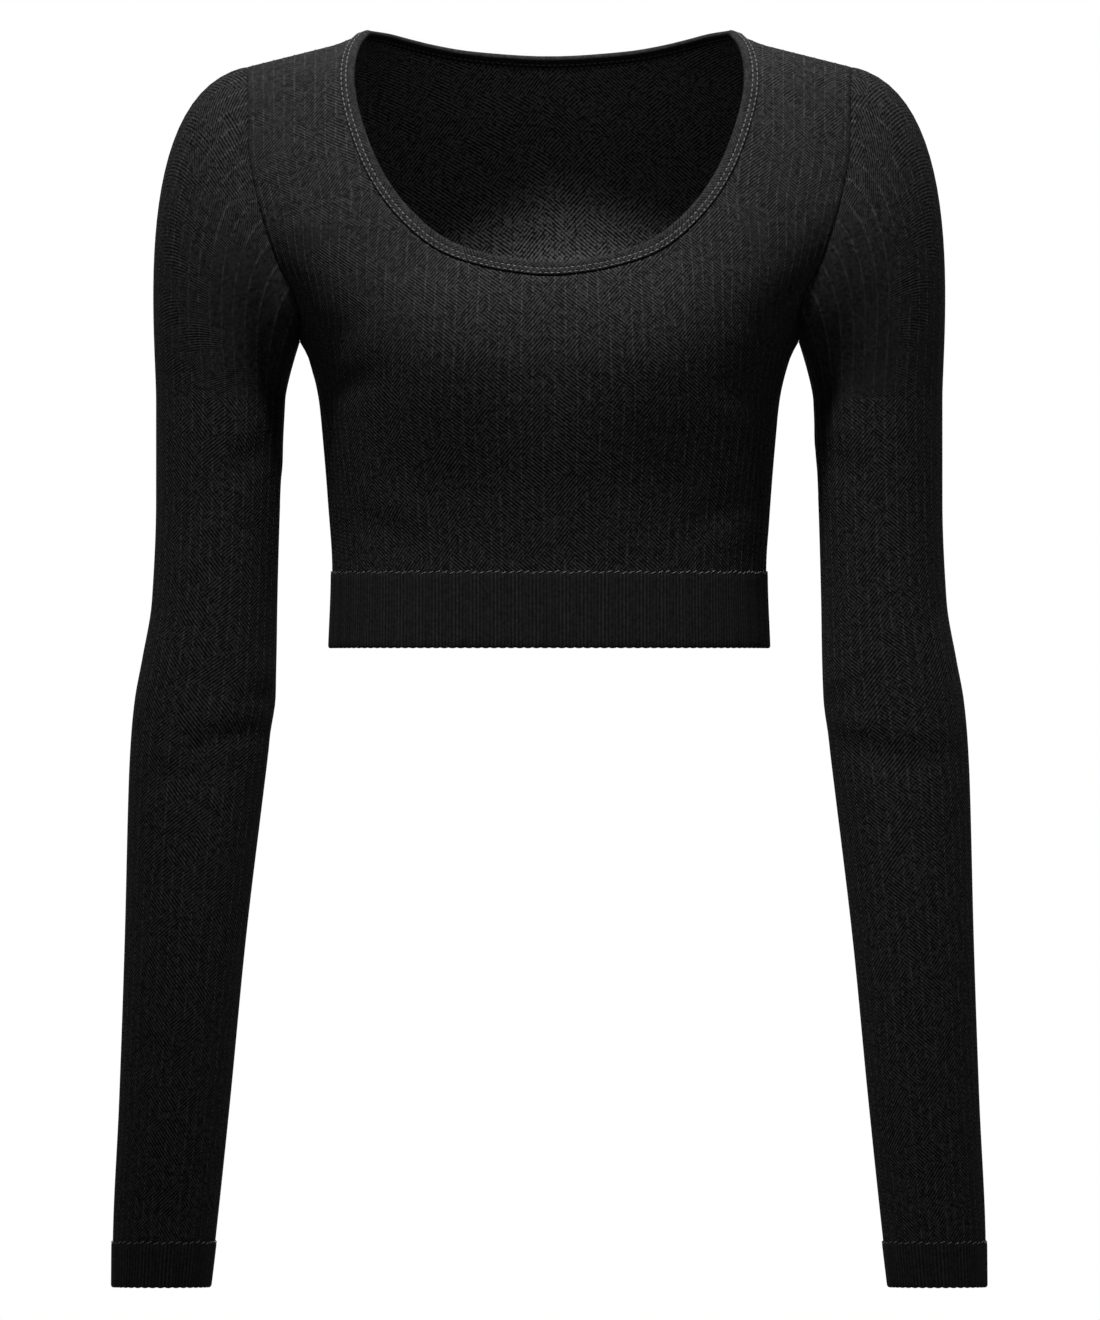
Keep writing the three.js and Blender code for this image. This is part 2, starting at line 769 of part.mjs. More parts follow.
function addPiece(name, geometry, colour) {
  const material = new THREE.MeshStandardMaterial({ color: colour, roughness: 0.92, metalness: 0 });
  const mesh = new THREE.Mesh(geometry, material);
  mesh.name = name;
  crop.add(mesh);
}

/** The same piece on the other side of the body. */
function mirrorImage(geometry) {
  const copy = geometry.clone().scale(-1, 1, 1);
  const index = [...copy.index.array];
  for (let i = 0; i < index.length; i += 3) {
    [index[i + 1], index[i + 2]] = [index[i + 2], index[i + 1]];
  }
  copy.setIndex(index);
  copy.computeVertexNormals();
  return copy;
}

const frontPanel = makePanel(FRONT);
const backPanel = makePanel(BACK);
const neck = neckLoop();
const cutter = neckCutter(neck);
const sleeve = makeSleeve(frontPanel, backPanel);
const cuff = makeBand(CUFF.columns, CUFF, tubeRing);

addPiece('body_front', cutAway(frontPanel.solid, cutter), COLOURS.panel);
addPiece('body_back', cutAway(backPanel.solid, cutter), COLOURS.panel);
addPiece('sleeve_left', sleeve, COLOURS.sleeve);
addPiece('sleeve_right', mirrorImage(sleeve), COLOURS.sleeve);
addPiece('neck_binding', makeBinding(neck), COLOURS.binding);
addPiece('hem_band', makeBand(HEM.columns, HEM, torsoRing), COLOURS.band);
addPiece('cuff_left', cuff, COLOURS.band);
addPiece('cuff_right', mirrorImage(cuff), COLOURS.band);

export default crop;
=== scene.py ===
"""Looks of a long-sleeved, scoop-necked crop top in fine black rib knit, filled out as if worn.

Shapes are worked out in millimetres and turned to metres when they become meshes. X runs across
the chest, -Y is the front and +Z is up. The origin lies midway between the two points where the
neckline crosses the shoulders.
"""

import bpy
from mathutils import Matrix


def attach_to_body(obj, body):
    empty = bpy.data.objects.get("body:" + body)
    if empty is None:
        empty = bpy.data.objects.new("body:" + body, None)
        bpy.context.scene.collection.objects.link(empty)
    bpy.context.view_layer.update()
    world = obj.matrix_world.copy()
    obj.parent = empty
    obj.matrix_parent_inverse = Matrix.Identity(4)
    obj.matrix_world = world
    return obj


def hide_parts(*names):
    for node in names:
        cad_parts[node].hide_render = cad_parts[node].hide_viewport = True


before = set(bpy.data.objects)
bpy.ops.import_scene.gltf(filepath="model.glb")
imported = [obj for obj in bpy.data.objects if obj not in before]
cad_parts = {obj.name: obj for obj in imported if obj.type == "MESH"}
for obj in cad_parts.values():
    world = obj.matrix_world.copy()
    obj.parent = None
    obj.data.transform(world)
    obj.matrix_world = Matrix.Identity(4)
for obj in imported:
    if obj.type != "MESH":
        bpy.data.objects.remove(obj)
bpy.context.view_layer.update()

import logging
import math
from dataclasses import dataclass
from enum import Enum
from typing import Any, Callable, Sequence

import bpy
import numpy as np
from mathutils import Vector
from mathutils.kdtree import KDTree

log = logging.getLogger("crop_top")

Points = np.ndarray
MM = 0.001
ROOT = "root"
CLOTH_MAP = "cloth"
RIB_MARK = "rib"

UNDERARM_Z = -167.4
SHOULDER_TIP_X = 163.0
SHOULDER_TIP_Z = -19.0
SHOULDER_SLOPE = 0.25
NECK_RISE, RISE_FROM, RISE_TO = 2.4, 118.0, 98.0
ROUNDING_Z = -95.0
SECTION_POWER = 2.2
HEM_TOP, HEM_BOTTOM = -292.0, -333.0
CUFF_TOP, CUFF_BOTTOM = -653.0, -677.5
TUCK = 4.0
CLOTH_THICKNESS = 0.9
NECK_STATIONS, NECK_SAMPLES = 230, 1500
# Shares of the way across a half row, closer together towards the side
ACROSS_HALF = np.sin(np.linspace(0, math.pi / 2, 90))
MIRROR = np.array([-1, 1, 1])

# Height, half width where a section closes, and depth of the front and of the back
TORSO_SECTIONS = (
    (-333, 118.4, 84, 80),
    (-292, 117.0, 86, 82),
    (-253, 119.4, 91, 87),
    (-220, 122.1, 98, 93),
    (-199, 124.3, 102, 97),
    (-177, 129.7, 104, 99.5),
    (UNDERARM_Z, 134.6, 103, 100),
    (-155, 142, 100.5, 100.5),
    (-142, 152, 96, 100.5),
    (-125, 170, 88, 100),
    (-105, 190, 79, 97),
    (-86, 202, 70, 93),
    (-63, 205, 61, 86),
    (-38, 205, 54, 78),
    (30, 205, 46, 64),
)

# Height and half width of the armhole edge, from the underarm to the shoulder
ARMHOLE_EDGE = (
    (UNDERARM_Z, 134.6),
    (-155, 134.2),
    (-142, 137.3),
    (-125, 146.4),
    (-105, 153.5),
    (-86, 158.3),
    (-63, 162.1),
    (-38, 162.4),
    (SHOULDER_TIP_Z, SHOULDER_TIP_X),
)

# X and Z of the neck edge in front, from its lowest point to the shoulder, and behind
NECK_FRONT = (
    (0, -125.3),
    (6, -125.16),
    (30.2, -121.7),
    (55, -113),
    (74.5, -97),
    (89.1, -77.2),
    (99.4, -53),
    (104.6, -30.8),
    (104.2, -15.4),
    (101.2, -6),
    (96.5, 0),
)
NECK_BACK = (
    (96.5, 0),
    (86, -1.2),
    (73.5, -4.1),
    (62.2, -6.6),
    (46, -9.3),
    (20, -11.5),
    (6, -12.1),
    (0, -12.1),
)

# Height, outer and inner edge seen from the front, middle from front to back, half depth
SLEEVE_SECTIONS = (
    (-199, 212.3, 142.7, 6.5, 45),
    (-253, 212.3, 145.4, 6, 42),
    (-307, 214.5, 146.9, 4, 39.5),
    (-339, 219.8, 147.4, 2, 38.5),
    (-361, 223.8, 148.2, 0.5, 38),
    (-382, 225.8, 150.8, -1, 37),
    (-404, 226.9, 153.5, -3, 36),
    (-490, 229.0, 163.8, -11, 33.5),
    (-577, 231.9, 172.2, -19, 30),
    (-653, 235.2, 180.2, -25, 27),
    (-680, 235.4, 183.4, -27, 26),
)


class Side(Enum):
    """Which way a panel faces: its value is the sign of its Y."""

    FRONT = -1
    BACK = 1


class Arm(Enum):
    """Which sleeve a piece is on: its value is the sign of its X."""

    LEFT = 1
    RIGHT = -1


# Curves and grids


def hermite(start: Any, leave: Any, end: Any, arrive: Any, t: Any) -> Any:
    """Give a point of the cubic curve between two places.

    Args:
        start: The first place.
        leave: Direction and speed there.
        end: The second place.
        arrive: Direction and speed there.
        t: Share of the way, from 0 to 1.

    Returns:
        The place at t.
    """
    u = 1 - t
    rest = t * t * (3 - 2 * t)
    return (1 + 2 * t) * u * u * start + t * u * u * leave + rest * end - t * t * u * arrive


class Profile:
    """A smooth function of height through measured values, with no overshoot."""

    def __init__(self, heights: Sequence[float], values: Sequence[float]) -> None:
        """Take the table.

        Args:
            heights: Heights that rise or fall all the way.
            values: The value at each height.
        """
        order = np.argsort(heights)
        self.z = np.asarray(heights, float)[order]
        self.v = np.asarray(values, float)[order]
        secants = np.diff(self.v) / np.diff(self.z)
        product = secants[:-1] * secants[1:]
        total = secants[:-1] + secants[1:]
        safe = np.where(product > 0, total, 1.0)
        inner = np.where(product > 0, 2 * product / safe, 0.0)
        self.slopes = np.concatenate([[secants[0]], inner, [secants[-1]]])

    def __call__(self, z: Any) -> Any:
        """Give the value at one height or at many.

        Args:
            z: The height or heights; past the table's ends it counts as at the end.

        Returns:
            The value or values.
        """
        z = np.clip(z, self.z[0], self.z[-1])
        i = np.clip(np.searchsorted(self.z, z, side="right") - 1, 0, len(self.z) - 2)
        span = self.z[i + 1] - self.z[i]
        t = (z - self.z[i]) / span
        return hermite(self.v[i], self.slopes[i] * span, self.v[i + 1], self.slopes[i + 1] * span, t)


def profiles(table: Sequence[Sequence[float]]) -> list[Profile]:
    """Turn a table's columns after the first into functions of that first one."""
    heights, *columns = zip(*table)
    return [Profile(heights, column) for column in columns]


def unit(vectors: Points) -> Points:
    """Scale vectors to a length of one."""
    return vectors / np.maximum(np.linalg.norm(vectors, axis=-1, keepdims=True), 1e-9)


def lengths_along(points: Points) -> Points:
    """Give the length from the start of a line to each of its points."""
    steps = np.linalg.norm(np.diff(points, axis=0), axis=-1)
    return np.concatenate([[0.0], np.cumsum(steps)])


def lengths_round(loop: Points) -> Points:
    """Give the length from the start of a closed line to each of its points and back."""
    return lengths_along(np.concatenate([loop, loop[:1]]))


def along(points: Points, wanted: Points) -> Points:
    """Give the places on a line at the wanted lengths from its start."""
    lengths = lengths_along(points)
    return np.stack([np.interp(wanted, lengths, points[:, i]) for i in range(3)], axis=-1)


def rounded_line(knots: Sequence[Sequence[float]], t: Points) -> Points:
    """Run a smooth line through knots that lie unevenly apart.

    Args:
        knots: The points to pass through.
        t: Shares of the way, each stretch between two knots counting alike.

    Returns:
        A point for each share.
    """
    p = np.asarray(knots, float)
    p = np.vstack([2 * p[0] - p[1], p, 2 * p[-1] - p[-2]])
    spot = np.clip(t, 0, 1) * (len(knots) - 1)
    i = np.minimum(spot.astype(int), len(knots) - 2)
    # Each stretch is run in the square root of its length, which keeps the line from looping
    steps = np.sqrt(np.linalg.norm(np.diff(p, axis=0), axis=-1))[:, None]
    a, b, c = steps[i], steps[i + 1], steps[i + 2]
    p0, p1, p2, p3 = p[i], p[i + 1], p[i + 2], p[i + 3]
    leave = (p1 - p0) / a - (p2 - p0) / (a + b) + (p2 - p1) / b
    arrive = (p2 - p1) / b - (p3 - p1) / (b + c) + (p3 - p2) / c
    return hermite(p1, leave * b, p2, arrive * b, (spot - i)[:, None])


def grid_normals(grid: Points, round_about: bool) -> Points:
    """Give the direction square to a grid of points at each of them.

    Args:
        grid: Points in rows and columns.
        round_about: Whether the last column is next to the first.

    Returns:
        Vectors of length one, the row direction crossed with the column direction.
    """
    if round_about:
        across = np.roll(grid, -1, axis=1) - np.roll(grid, 1, axis=1)
    else:
        across = np.gradient(grid, axis=1)
    return unit(np.cross(across, np.gradient(grid, axis=0)))


@dataclass(frozen=True)
class Crease:
    """One soft trough in the cloth with a low ridge beside it.

    Places are in the cloth's own millimetres: across it, and up it as a height.
    """

    start: tuple[float, float]
    end: tuple[float, float]
    depth: float
    width: float
    bow: float = 0.0
    ridge: float = 0.45
    ridge_off: float = 1.9
    fade: float = 0.8

    def lift(self, across: Points, up: Points) -> Points:
        """Give how far the crease lifts the cloth at each place.

        Args:
            across: Places across the cloth.
            up: Heights of the same places.

        Returns:
            Millimetres off the surface, below zero in the trough.
        """
        start, end = np.array(self.start), np.array(self.end)
        run = end - start
        length = np.hypot(*run)
        way = run / length
        x, z = across - start[0], up - start[1]
        share = (x * way[0] + z * way[1]) / length
        off = -x * way[1] + z * way[0]
        inside = np.clip(share, 0, 1)
        off = off - self.bow * np.sin(math.pi * inside)
        ends = np.where((share > 0) & (share < 1), np.sin(math.pi * inside) ** self.fade, 0.0)
        trough = np.exp(-((off / self.width) ** 2))
        ridge = np.exp(-((off / self.width - self.ridge_off) ** 2))
        return self.depth * ends * (self.ridge * ridge - trough)


def lifted(creases: Sequence[Crease], across: Points, up: Points) -> Points:
    """Add up what several creases do to the cloth."""
    return sum((c.lift(across, up) for c in creases), np.zeros_like(across))


# Soft creases: across the cloth and up it, then depth and width

PANEL_CREASES = {
    Side.FRONT: (
        Crease((-131, -180), (-92, -150), 0.7, 9.0, 2.0),
        Crease((-128, -196), (-84, -182), 0.9, 7.5, -2.0),
        Crease((130, -176), (96, -146), 0.6, 9.5, -2.0),
        Crease((127, -204), (92, -186), 1.0, 7.0, 2.5),
        Crease((-112, -262), (-66, -281), 0.7, 8.0, 2.0),
        Crease((114, -250), (70, -276), 0.8, 8.5, -3.0),
    ),
    Side.BACK: (
        Crease((-132, -176), (-90, -150), 1.4, 7.0, 3.0),
        Crease((131, -182), (96, -154), 1.2, 6.5, -2.5),
        Crease((-104, -238), (-40, -256), 1.2, 8.5, 3.0),
        Crease((98, -246), (30, -262), 1.0, 9.0, -3.0),
        Crease((-70, -276), (-8, -270), 0.8, 8.0, 1.5),
        Crease((16, -236), (66, -228), 0.7, 9.0, 2.0),
    ),
}
SLEEVE_CREASES = {
    Arm.RIGHT: (
        Crease((14, -376), (78, -392), 1.9, 7.0, 2.0),
        Crease((30, -396), (98, -404), 1.3, 7.5, -2.5),
        Crease((4, -357), (48, -366), 1.1, 6.5, 1.5),
        Crease((212, -366), (246, -382), 0.7, 8.5, -1.0),
        Crease((150, -364), (206, -372), 0.9, 8.0, 2.0),
        Crease((158, -398), (212, -390), 0.8, 8.5, -2.0),
        Crease((20, -222), (60, -244), 1.0, 8.0, 2.0),
        Crease((206, -230), (238, -252), 1.1, 8.0, -2.0),
        Crease((40, -560), (96, -552), 0.6, 9.0, 1.0),
    ),
    Arm.LEFT: (
        Crease((18, -384), (74, -390), 1.4, 7.5, -2.0),
        Crease((52, -398), (104, -392), 1.0, 8.0, 2.0),
        Crease((8, -364), (42, -358), 0.9, 6.5, 1.0),
        Crease((208, -388), (244, -372), 0.6, 8.5, 1.5),
        Crease((146, -374), (198, -366), 0.9, 8.0, -2.0),
        Crease((164, -392), (208, -402), 0.7, 8.5, 1.5),
        Crease((16, -228), (58, -240), 0.8, 8.5, -1.5),
        Crease((210, -222), (240, -246), 1.2, 7.5, 2.0),
        Crease((150, -540), (204, -552), 0.6, 9.0, -1.0),
    ),
}


# Finishes


def linear(code: str) -> tuple[float, float, float, float]:
    """Turn an sRGB hex colour to the linear values that a shader takes.

    Args:
        code: The colour as # and six digits.

    Returns:
        Red, green, blue and a full alpha.
    """
    parts = [int(code[i : i + 2], 16) / 255 for i in (1, 3, 5)]
    made = [p / 12.92 if p <= 0.04045 else ((p + 0.055) / 1.055) ** 2.4 for p in parts]
    return (*made, 1.0)


def add_node(tree: Any, kind: str, links: dict[Any, Any] | None = None, **settings: Any) -> Any:
    """Add a shader node.

    Args:
        tree: The node tree.
        kind: The node's type, without the words that all types start with.
        links: What each input takes: another node's output, or a value.
        settings: The node's own settings.

    Returns:
        The node.
    """
    node = tree.nodes.new(f"ShaderNode{kind}")
    for setting, value in settings.items():
        setattr(node, setting, value)
    for socket, value in (links or {}).items():
        if isinstance(value, bpy.types.NodeSocket):
            tree.links.new(value, node.inputs[socket])
        else:
            node.inputs[socket].default_value = value
    return node


def new_material(name: str) -> tuple[Any, Any]:
    """Start a material.

    Args:
        name: Its name.

    Returns:
        The material and its node tree, which is empty.
    """
    material = bpy.data.materials.new(name)
    material.use_nodes = True
    material.node_tree.nodes.clear()
    return material, material.node_tree


@dataclass(frozen=True)
class Knit:
    """Dyed cotton jersey with a little elastane: matt, its stitches lying in fine lines.

    The lines run one way in some patches and another way in others. A real stitch is about
    0.9 mm, too fine for the render, so they are drawn coarser: pitch is their spacing, and ways
    gives the direction of each kind, across and up. The fibres' specks are drawn coarser too.
    Spacing, depth, patch and fibre are in millimetres.
    """

    name: str
    ground: str
    # The colour painted on each rib's crest, a painted highlight for the light it catches
    painted_crest_highlight: str
    shade: str
    pitch: float
    contrast: float
    depth: float
    ways: tuple[tuple[float, float], tuple[float, float]] = ((0.59, 0.81), (0.74, -0.67))
    patch: float = 16.667
    fibre: float = 1.923
    fibre_share: float = 0.42
    relief: float = 0.7
    roughness: float = 0.95
    specular: float = 0.02

    def lines(self, tree: Any, parts: Any, across: float, upward: float) -> Any:
        """Draw fine parallel lines.

        Args:
            tree: The node tree.
            parts: The node that gives the place on the cloth in millimetres.
            across: The share of the way across in their direction.
            upward: The share of the way up.

        Returns:
            The output that gives their height, from -1 to 1.
        """
        turn = 2 * math.pi / self.pitch
        u = add_node(tree, "Math", {0: parts.outputs[0], 1: across * turn}, operation="MULTIPLY")
        uv = add_node(tree, "Math", {0: parts.outputs[1], 1: upward * turn, 2: u.outputs[0]},
                      operation="MULTIPLY_ADD")
        return add_node(tree, "Math", {0: uv.outputs[0]}, operation="SINE").outputs[0]

    def stitches(self, tree: Any, patches: Any) -> Any:
        """Draw the two ways in which the stitches lie.

        Args:
            tree: The node tree.
            patches: The output that says where each way shows.

        Returns:
            The output that gives their height, from 0 to 1.
        """
        place = add_node(tree, "UVMap", uv_map=CLOTH_MAP).outputs[0]
        parts = add_node(tree, "SeparateXYZ", {0: place})
        falling, rising = (self.lines(tree, parts, *way) for way in self.ways)
        share = add_node(tree, "MapRange", {"Value": patches, "From Min": 0.42, "From Max": 0.58})
        both = add_node(tree, "Mix", {0: share.outputs[0], 2: falling, 3: rising}, data_type="FLOAT")
        half = {0: both.outputs[0], 1: 0.5, 2: 0.5}
        return add_node(tree, "Math", half, operation="MULTIPLY_ADD").outputs[0]

    def make(self) -> Any:
        """Build the material.

        Returns:
            The material.
        """
        material, tree = new_material(self.name)
        rib = add_node(tree, "Attribute", attribute_name=RIB_MARK).outputs["Fac"]
        place = add_node(tree, "TexCoord").outputs["Object"]
        # The stitches lie one way or the other in patches, and the dye takes unevenly fibre by fibre
        wide, fine = (
            add_node(tree, "TexNoise", {"Vector": place, "Scale": 1 / (size * MM), "Detail": detail})
            for size, detail in ((self.patch, 2.0), (self.fibre, 1.0))
        )
        height = self.stitches(tree, wide.outputs[0])
        speck = add_node(tree, "MapRange", {"Value": fine.outputs[0], "From Min": 0.3,
                                            "From Max": 0.7})
        grain = add_node(tree, "Mix", {0: self.fibre_share, 2: height, 3: speck.outputs[0]},
                         data_type="FLOAT").outputs[0]
        # A rib's crest catches the light where the grain is high
        streak = add_node(tree, "Math", {0: grain, 1: 0.6, 2: 0.6}, operation="MULTIPLY_ADD")
        crest = add_node(tree, "Math", {0: rib, 1: streak.outputs[0]}, operation="MULTIPLY",
                         use_clamp=True).outputs[0]
        base = add_node(tree, "Mix", {0: crest, 6: linear(self.ground), 7: linear(self.painted_crest_highlight)},
                        data_type="RGBA").outputs[2]
        # Hollows between the stitches are in shade
        share = add_node(tree, "Math", {0: grain, 1: -self.contrast, 2: (self.contrast + 1) / 2},
                         operation="MULTIPLY_ADD", use_clamp=True).outputs[0]
        colour = add_node(tree, "Mix", {0: share, 6: base, 7: linear(self.shade)},
                          data_type="RGBA").outputs[2]
        bump = add_node(tree, "Bump", {"Height": grain, "Strength": self.relief,
                                       "Distance": self.depth * MM})
        shader = add_node(tree, "BsdfPrincipled", {
            "Base Color": colour, "Normal": bump.outputs[0], "Roughness": self.roughness,
            "Specular IOR Level": self.specular,
        })
        add_node(tree, "OutputMaterial", {0: shader.outputs[0]})
        return material


@dataclass(frozen=True)
class SewingThread:
    """Spun polyester thread, a little lighter and smoother than the cloth, twisted slantwise.

    The twist is the spacing of its plies in millimetres.
    """

    name: str
    colour: str
    shade: str
    twist: float = 0.5
    depth: float = 0.1
    relief: float = 0.5
    roughness: float = 0.6
    specular: float = 0.1
    sheen: float = 0.02

    def make(self) -> Any:
        """Build the material.

        Returns:
            The material.
        """
        material, tree = new_material(self.name)
        place = add_node(tree, "TexCoord").outputs["Object"]
        # A wave of scale 1 repeats every 0.314 of a metre
        ply = add_node(tree, "TexWave", {"Vector": place, "Scale": 0.314 / (self.twist * MM),
                                         "Distortion": 1.5}, bands_direction="DIAGONAL").outputs[1]
        colour = add_node(tree, "Mix", {0: ply, 6: linear(self.shade), 7: linear(self.colour)},
                          data_type="RGBA").outputs[2]
        bump = add_node(tree, "Bump", {"Height": ply, "Strength": self.relief,
                                       "Distance": self.depth * MM})
        shader = add_node(tree, "BsdfPrincipled", {
            "Base Color": colour, "Normal": bump.outputs[0], "Roughness": self.roughness,
            "Specular IOR Level": self.specular, "Sheen Weight": self.sheen,
        })
        add_node(tree, "OutputMaterial", {0: shader.outputs[0]})
        return material


# Each knit: ground, painted highlight on the rib crests, and shade, stitch spacing, contrast and
# depth of its relief in mm.
# Main cloth: nearly black, with specks of dull charcoal and a faint painted highlight along each
# rib's crest
RIB_KNIT = Knit("ribbed_cotton_jersey", "#101010", "#191919", "#010101", 1.7, 2.4, 0.3)
# Its inner face shows the looser backs of the loops, without the ribs; it is painted much paler than
# the outer face, as painted light for the light that falls inside the garment through the neck
PAINTED_LIGHT_INNER_KNIT = Knit("ribbed_cotton_jersey_inner_face_painted_light", "#2d2d2d", "#2f2f2f", "#060606", 1.9, 2.0, 0.2)
# The binding is the same yarn knitted plain and pulled flat, so it looks smoother and greyer
PLAIN_KNIT = Knit("folded_plain_jersey", "#111111", "#111111", "#020202", 1.5, 1.6, 0.12)
# Hem and cuffs are the closest and darkest knit, its stitches in upright rows
BAND_KNIT = Knit("close_rib_band_jersey", "#0a0a0a", "#121212", "#020202", 1.9, 0.9, 0.12,
                 ((1.0, 0.0), (1.0, 0.0)))
# Thread of the binding, and of the bands, where it shows as a dull grey dash
SEAM_THREAD = SewingThread("black_polyester_thread", "#2a2a2a", "#0e0e0e")
BAND_THREAD = SewingThread("charcoal_polyester_thread", "#2c2c2c", "#101010")


@dataclass(frozen=True)
class Finishes:
    """The garment's materials, each made once."""

    rib: Any
    inner: Any
    plain: Any
    band: Any
    seam_thread: Any
    band_thread: Any


def make_finishes() -> Finishes:
    """Make the materials."""
    kinds = (RIB_KNIT, PAINTED_LIGHT_INNER_KNIT, PLAIN_KNIT, BAND_KNIT, SEAM_THREAD, BAND_THREAD)
    return Finishes(*(kind.make() for kind in kinds))


# The torso


class Torso:
    """The smooth form of the worn body, from which panels, neck strip and hem band are taken."""

    # Height, middle across and up, spread across and up
    fullness: tuple[float, ...] = (4.5, 60.0, -172.0, 36.0, 46.0)
    dip: tuple[float, ...] = (-2.5, 0.0, -178.0, 28.0, 50.0)
    probe: float = 0.05
    settling_rounds: int = 3

    def __init__(self) -> None:
        """Read the section tables."""
        self.reach, self.front, self.back = profiles(TORSO_SECTIONS)
        (self.armhole,) = profiles(ARMHOLE_EDGE)

    def edge(self, z: Points) -> Points:
        """Give the panels' half width: the side line low down, the armhole above it."""
        return np.where(z <= UNDERARM_Z, self.reach(z), self.armhole(z))

    def shoulder(self, x: Points) -> Points:
        """Give the height of the shoulder line, which rises a little more beside the neck.

        Args:
            x: Places across.

        Returns:
            The heights there.
        """
        t = np.clip((RISE_FROM - np.abs(x)) / (RISE_FROM - RISE_TO), 0, 1)
        slope = (SHOULDER_TIP_X - np.abs(x)) * SHOULDER_SLOPE
        return SHOULDER_TIP_Z + slope + NECK_RISE * t * t * (3 - 2 * t)

    def swell(self, bump: tuple[float, ...], x: Points, z: Points) -> Points:
        """Give one soft fullness, the same on both sides of the centre.

        Args:
            bump: Its height, its middle across and up, and its spread across and up.
            x: Places across.
            z: Heights.

        Returns:
            How far it stands forward there.
        """
        height, middle_x, middle_z, spread_x, spread_z = bump
        across, up = (np.abs(x) - middle_x) / spread_x, (z - middle_z) / spread_z
        return height * np.exp(-across * across - up * up)

    def depth(self, side: Side, x: Points, z: Points) -> Points:
        """Give the depth from the middle plane before the shoulders round it over.

        Args:
            side: The front or the back.
            x: Places across.
            z: Heights.

        Returns:
            The depths there, all above zero.
        """
        share = np.minimum(np.abs(x) / self.reach(z), 1)
        across = (1 - share**SECTION_POWER) ** (1 / SECTION_POWER)
        if side is Side.BACK:
            return self.back(z) * across
        return (self.front(z) + self.swell(self.fullness, x, z) + self.swell(self.dip, x, z)) * across

    def point(self, side: Side, x: Points, z: Points) -> Points:
        """Give points of the front or back surface at places seen from the front.

        Args:
            side: The front or the back.
            x: Places across.
            z: Heights.

        Returns:
            The points.
        """
        share = np.clip((z - ROUNDING_Z) / (self.shoulder(x) - ROUNDING_Z), 0, 1)
        y = side.value * self.depth(side, x, z) * np.sqrt(1 - share**3)
        return np.stack(np.broadcast_arrays(x, y, z), axis=-1)

    def field(self, p: Points) -> Points:
        """Give zero on the surface, growing outwards, smooth over the shoulder line.

        Args:
            p: Points anywhere near the surface.

        Returns:
            The value at each of them.
        """
        x, y, z = p[..., 0], p[..., 1], p[..., 2]
        depth = np.where(y < 0, self.depth(Side.FRONT, x, z), self.depth(Side.BACK, x, z))
        share = (z - ROUNDING_Z) / (self.shoulder(x) - ROUNDING_Z)
        return (y / np.maximum(depth, 1)) ** 2 + np.maximum(share, 0) ** 3 - 1

    def gradient(self, p: Points) -> Points:
        """Give how fast the field grows along X, Y and Z."""
        steps, span = self.probe * np.eye(3), 2 * self.probe
        return np.stack([(self.field(p + s) - self.field(p - s)) / span for s in steps], axis=-1)

    def settle(self, p: Points) -> Points:
        """Move points that are near the surface onto it.

        Args:
            p: The points.

        Returns:
            The points on the surface.
        """
        for _ in range(self.settling_rounds):
            g = self.gradient(p)
            p = p - g * (self.field(p) / np.sum(g * g, axis=-1))[..., None]
        return p


@dataclass(frozen=True)
class NeckStation:
    """The neck edge as a loop: where it runs, away from the opening, outwards and onwards."""

    point: Points
    away: Points
    out: Points
    onward: Points

    def place(self, torso: Torso, across: Sequence[float], height: Sequence[float]) -> Points:
        """Give points beside the edge.

        Args:
            torso: The surface that they follow.
            across: Distances from the edge, away from the opening.
            height: Distances off the surface.

        Returns:
            One row for each pair of distances, one column for each station.
        """
        rows = []
        for a, h in zip(across, height):
            base = torso.settle(self.point + self.away * a)
            rows.append(base + unit(torso.gradient(base)) * h)
        return np.stack(rows)


def neck_loop(torso: Torso, half_count: int) -> NeckStation:
    """Run once round the neck edge, from the centre of the front.

    Args:
        torso: The surface that the edge lies on.
        half_count: Steps from the centre front to the centre back.

    Returns:
        The loop, evenly spaced.
    """
    s = np.linspace(0, 1, NECK_SAMPLES)
    x, z = rounded_line(NECK_FRONT, 1 - (1 - s) ** 2).T
    front = torso.point(Side.FRONT, x, np.minimum(z, torso.shoulder(x)))
    x, z = rounded_line(NECK_BACK, s[1:] ** 2).T
    back = torso.point(Side.BACK, x, np.minimum(z, torso.shoulder(x)))
    line = np.concatenate([front, back])
    half = along(line, np.linspace(0, lengths_along(line)[-1], half_count + 1))
    loop = np.concatenate([half, half[-2:0:-1] * MIRROR])
    onward = unit(np.roll(loop, -1, axis=0) - np.roll(loop, 1, axis=0))
    out = unit(torso.gradient(loop))
    away = -unit(np.cross(out, onward))
    return NeckStation(loop, away, out, onward)


# Meshes


def make_piece(name: str, points: Points, faces: Sequence[Sequence[int]],
               marks: dict[str, Any]) -> Any:
    """Make a smooth mesh object from millimetres.

    Args:
        name: The object's name.
        points: Its points, one a row.
        faces: Indices of each face's points.
        marks: The cloth map as a pair for each face corner, and the rib mark for each point.

    Returns:
        The new object, at the origin.
    """
    mesh = bpy.data.meshes.new(name)
    mesh.from_pydata((points * MM).tolist(), [], faces)
    if CLOTH_MAP in marks:
        layer = mesh.uv_layers.new(name=CLOTH_MAP)
        layer.data.foreach_set("uv", np.asarray(marks[CLOTH_MAP], np.float32).ravel())
    if RIB_MARK in marks:
        rib = mesh.attributes.new(RIB_MARK, "FLOAT", "POINT")
        rib.data.foreach_set("value", np.asarray(marks[RIB_MARK], np.float32).ravel())
    mesh.polygons.foreach_set("use_smooth", [True] * len(mesh.polygons))
    mesh.validate()
    mesh.update()
    piece = bpy.data.objects.new(name, mesh)
    bpy.context.collection.objects.link(piece)
    return piece


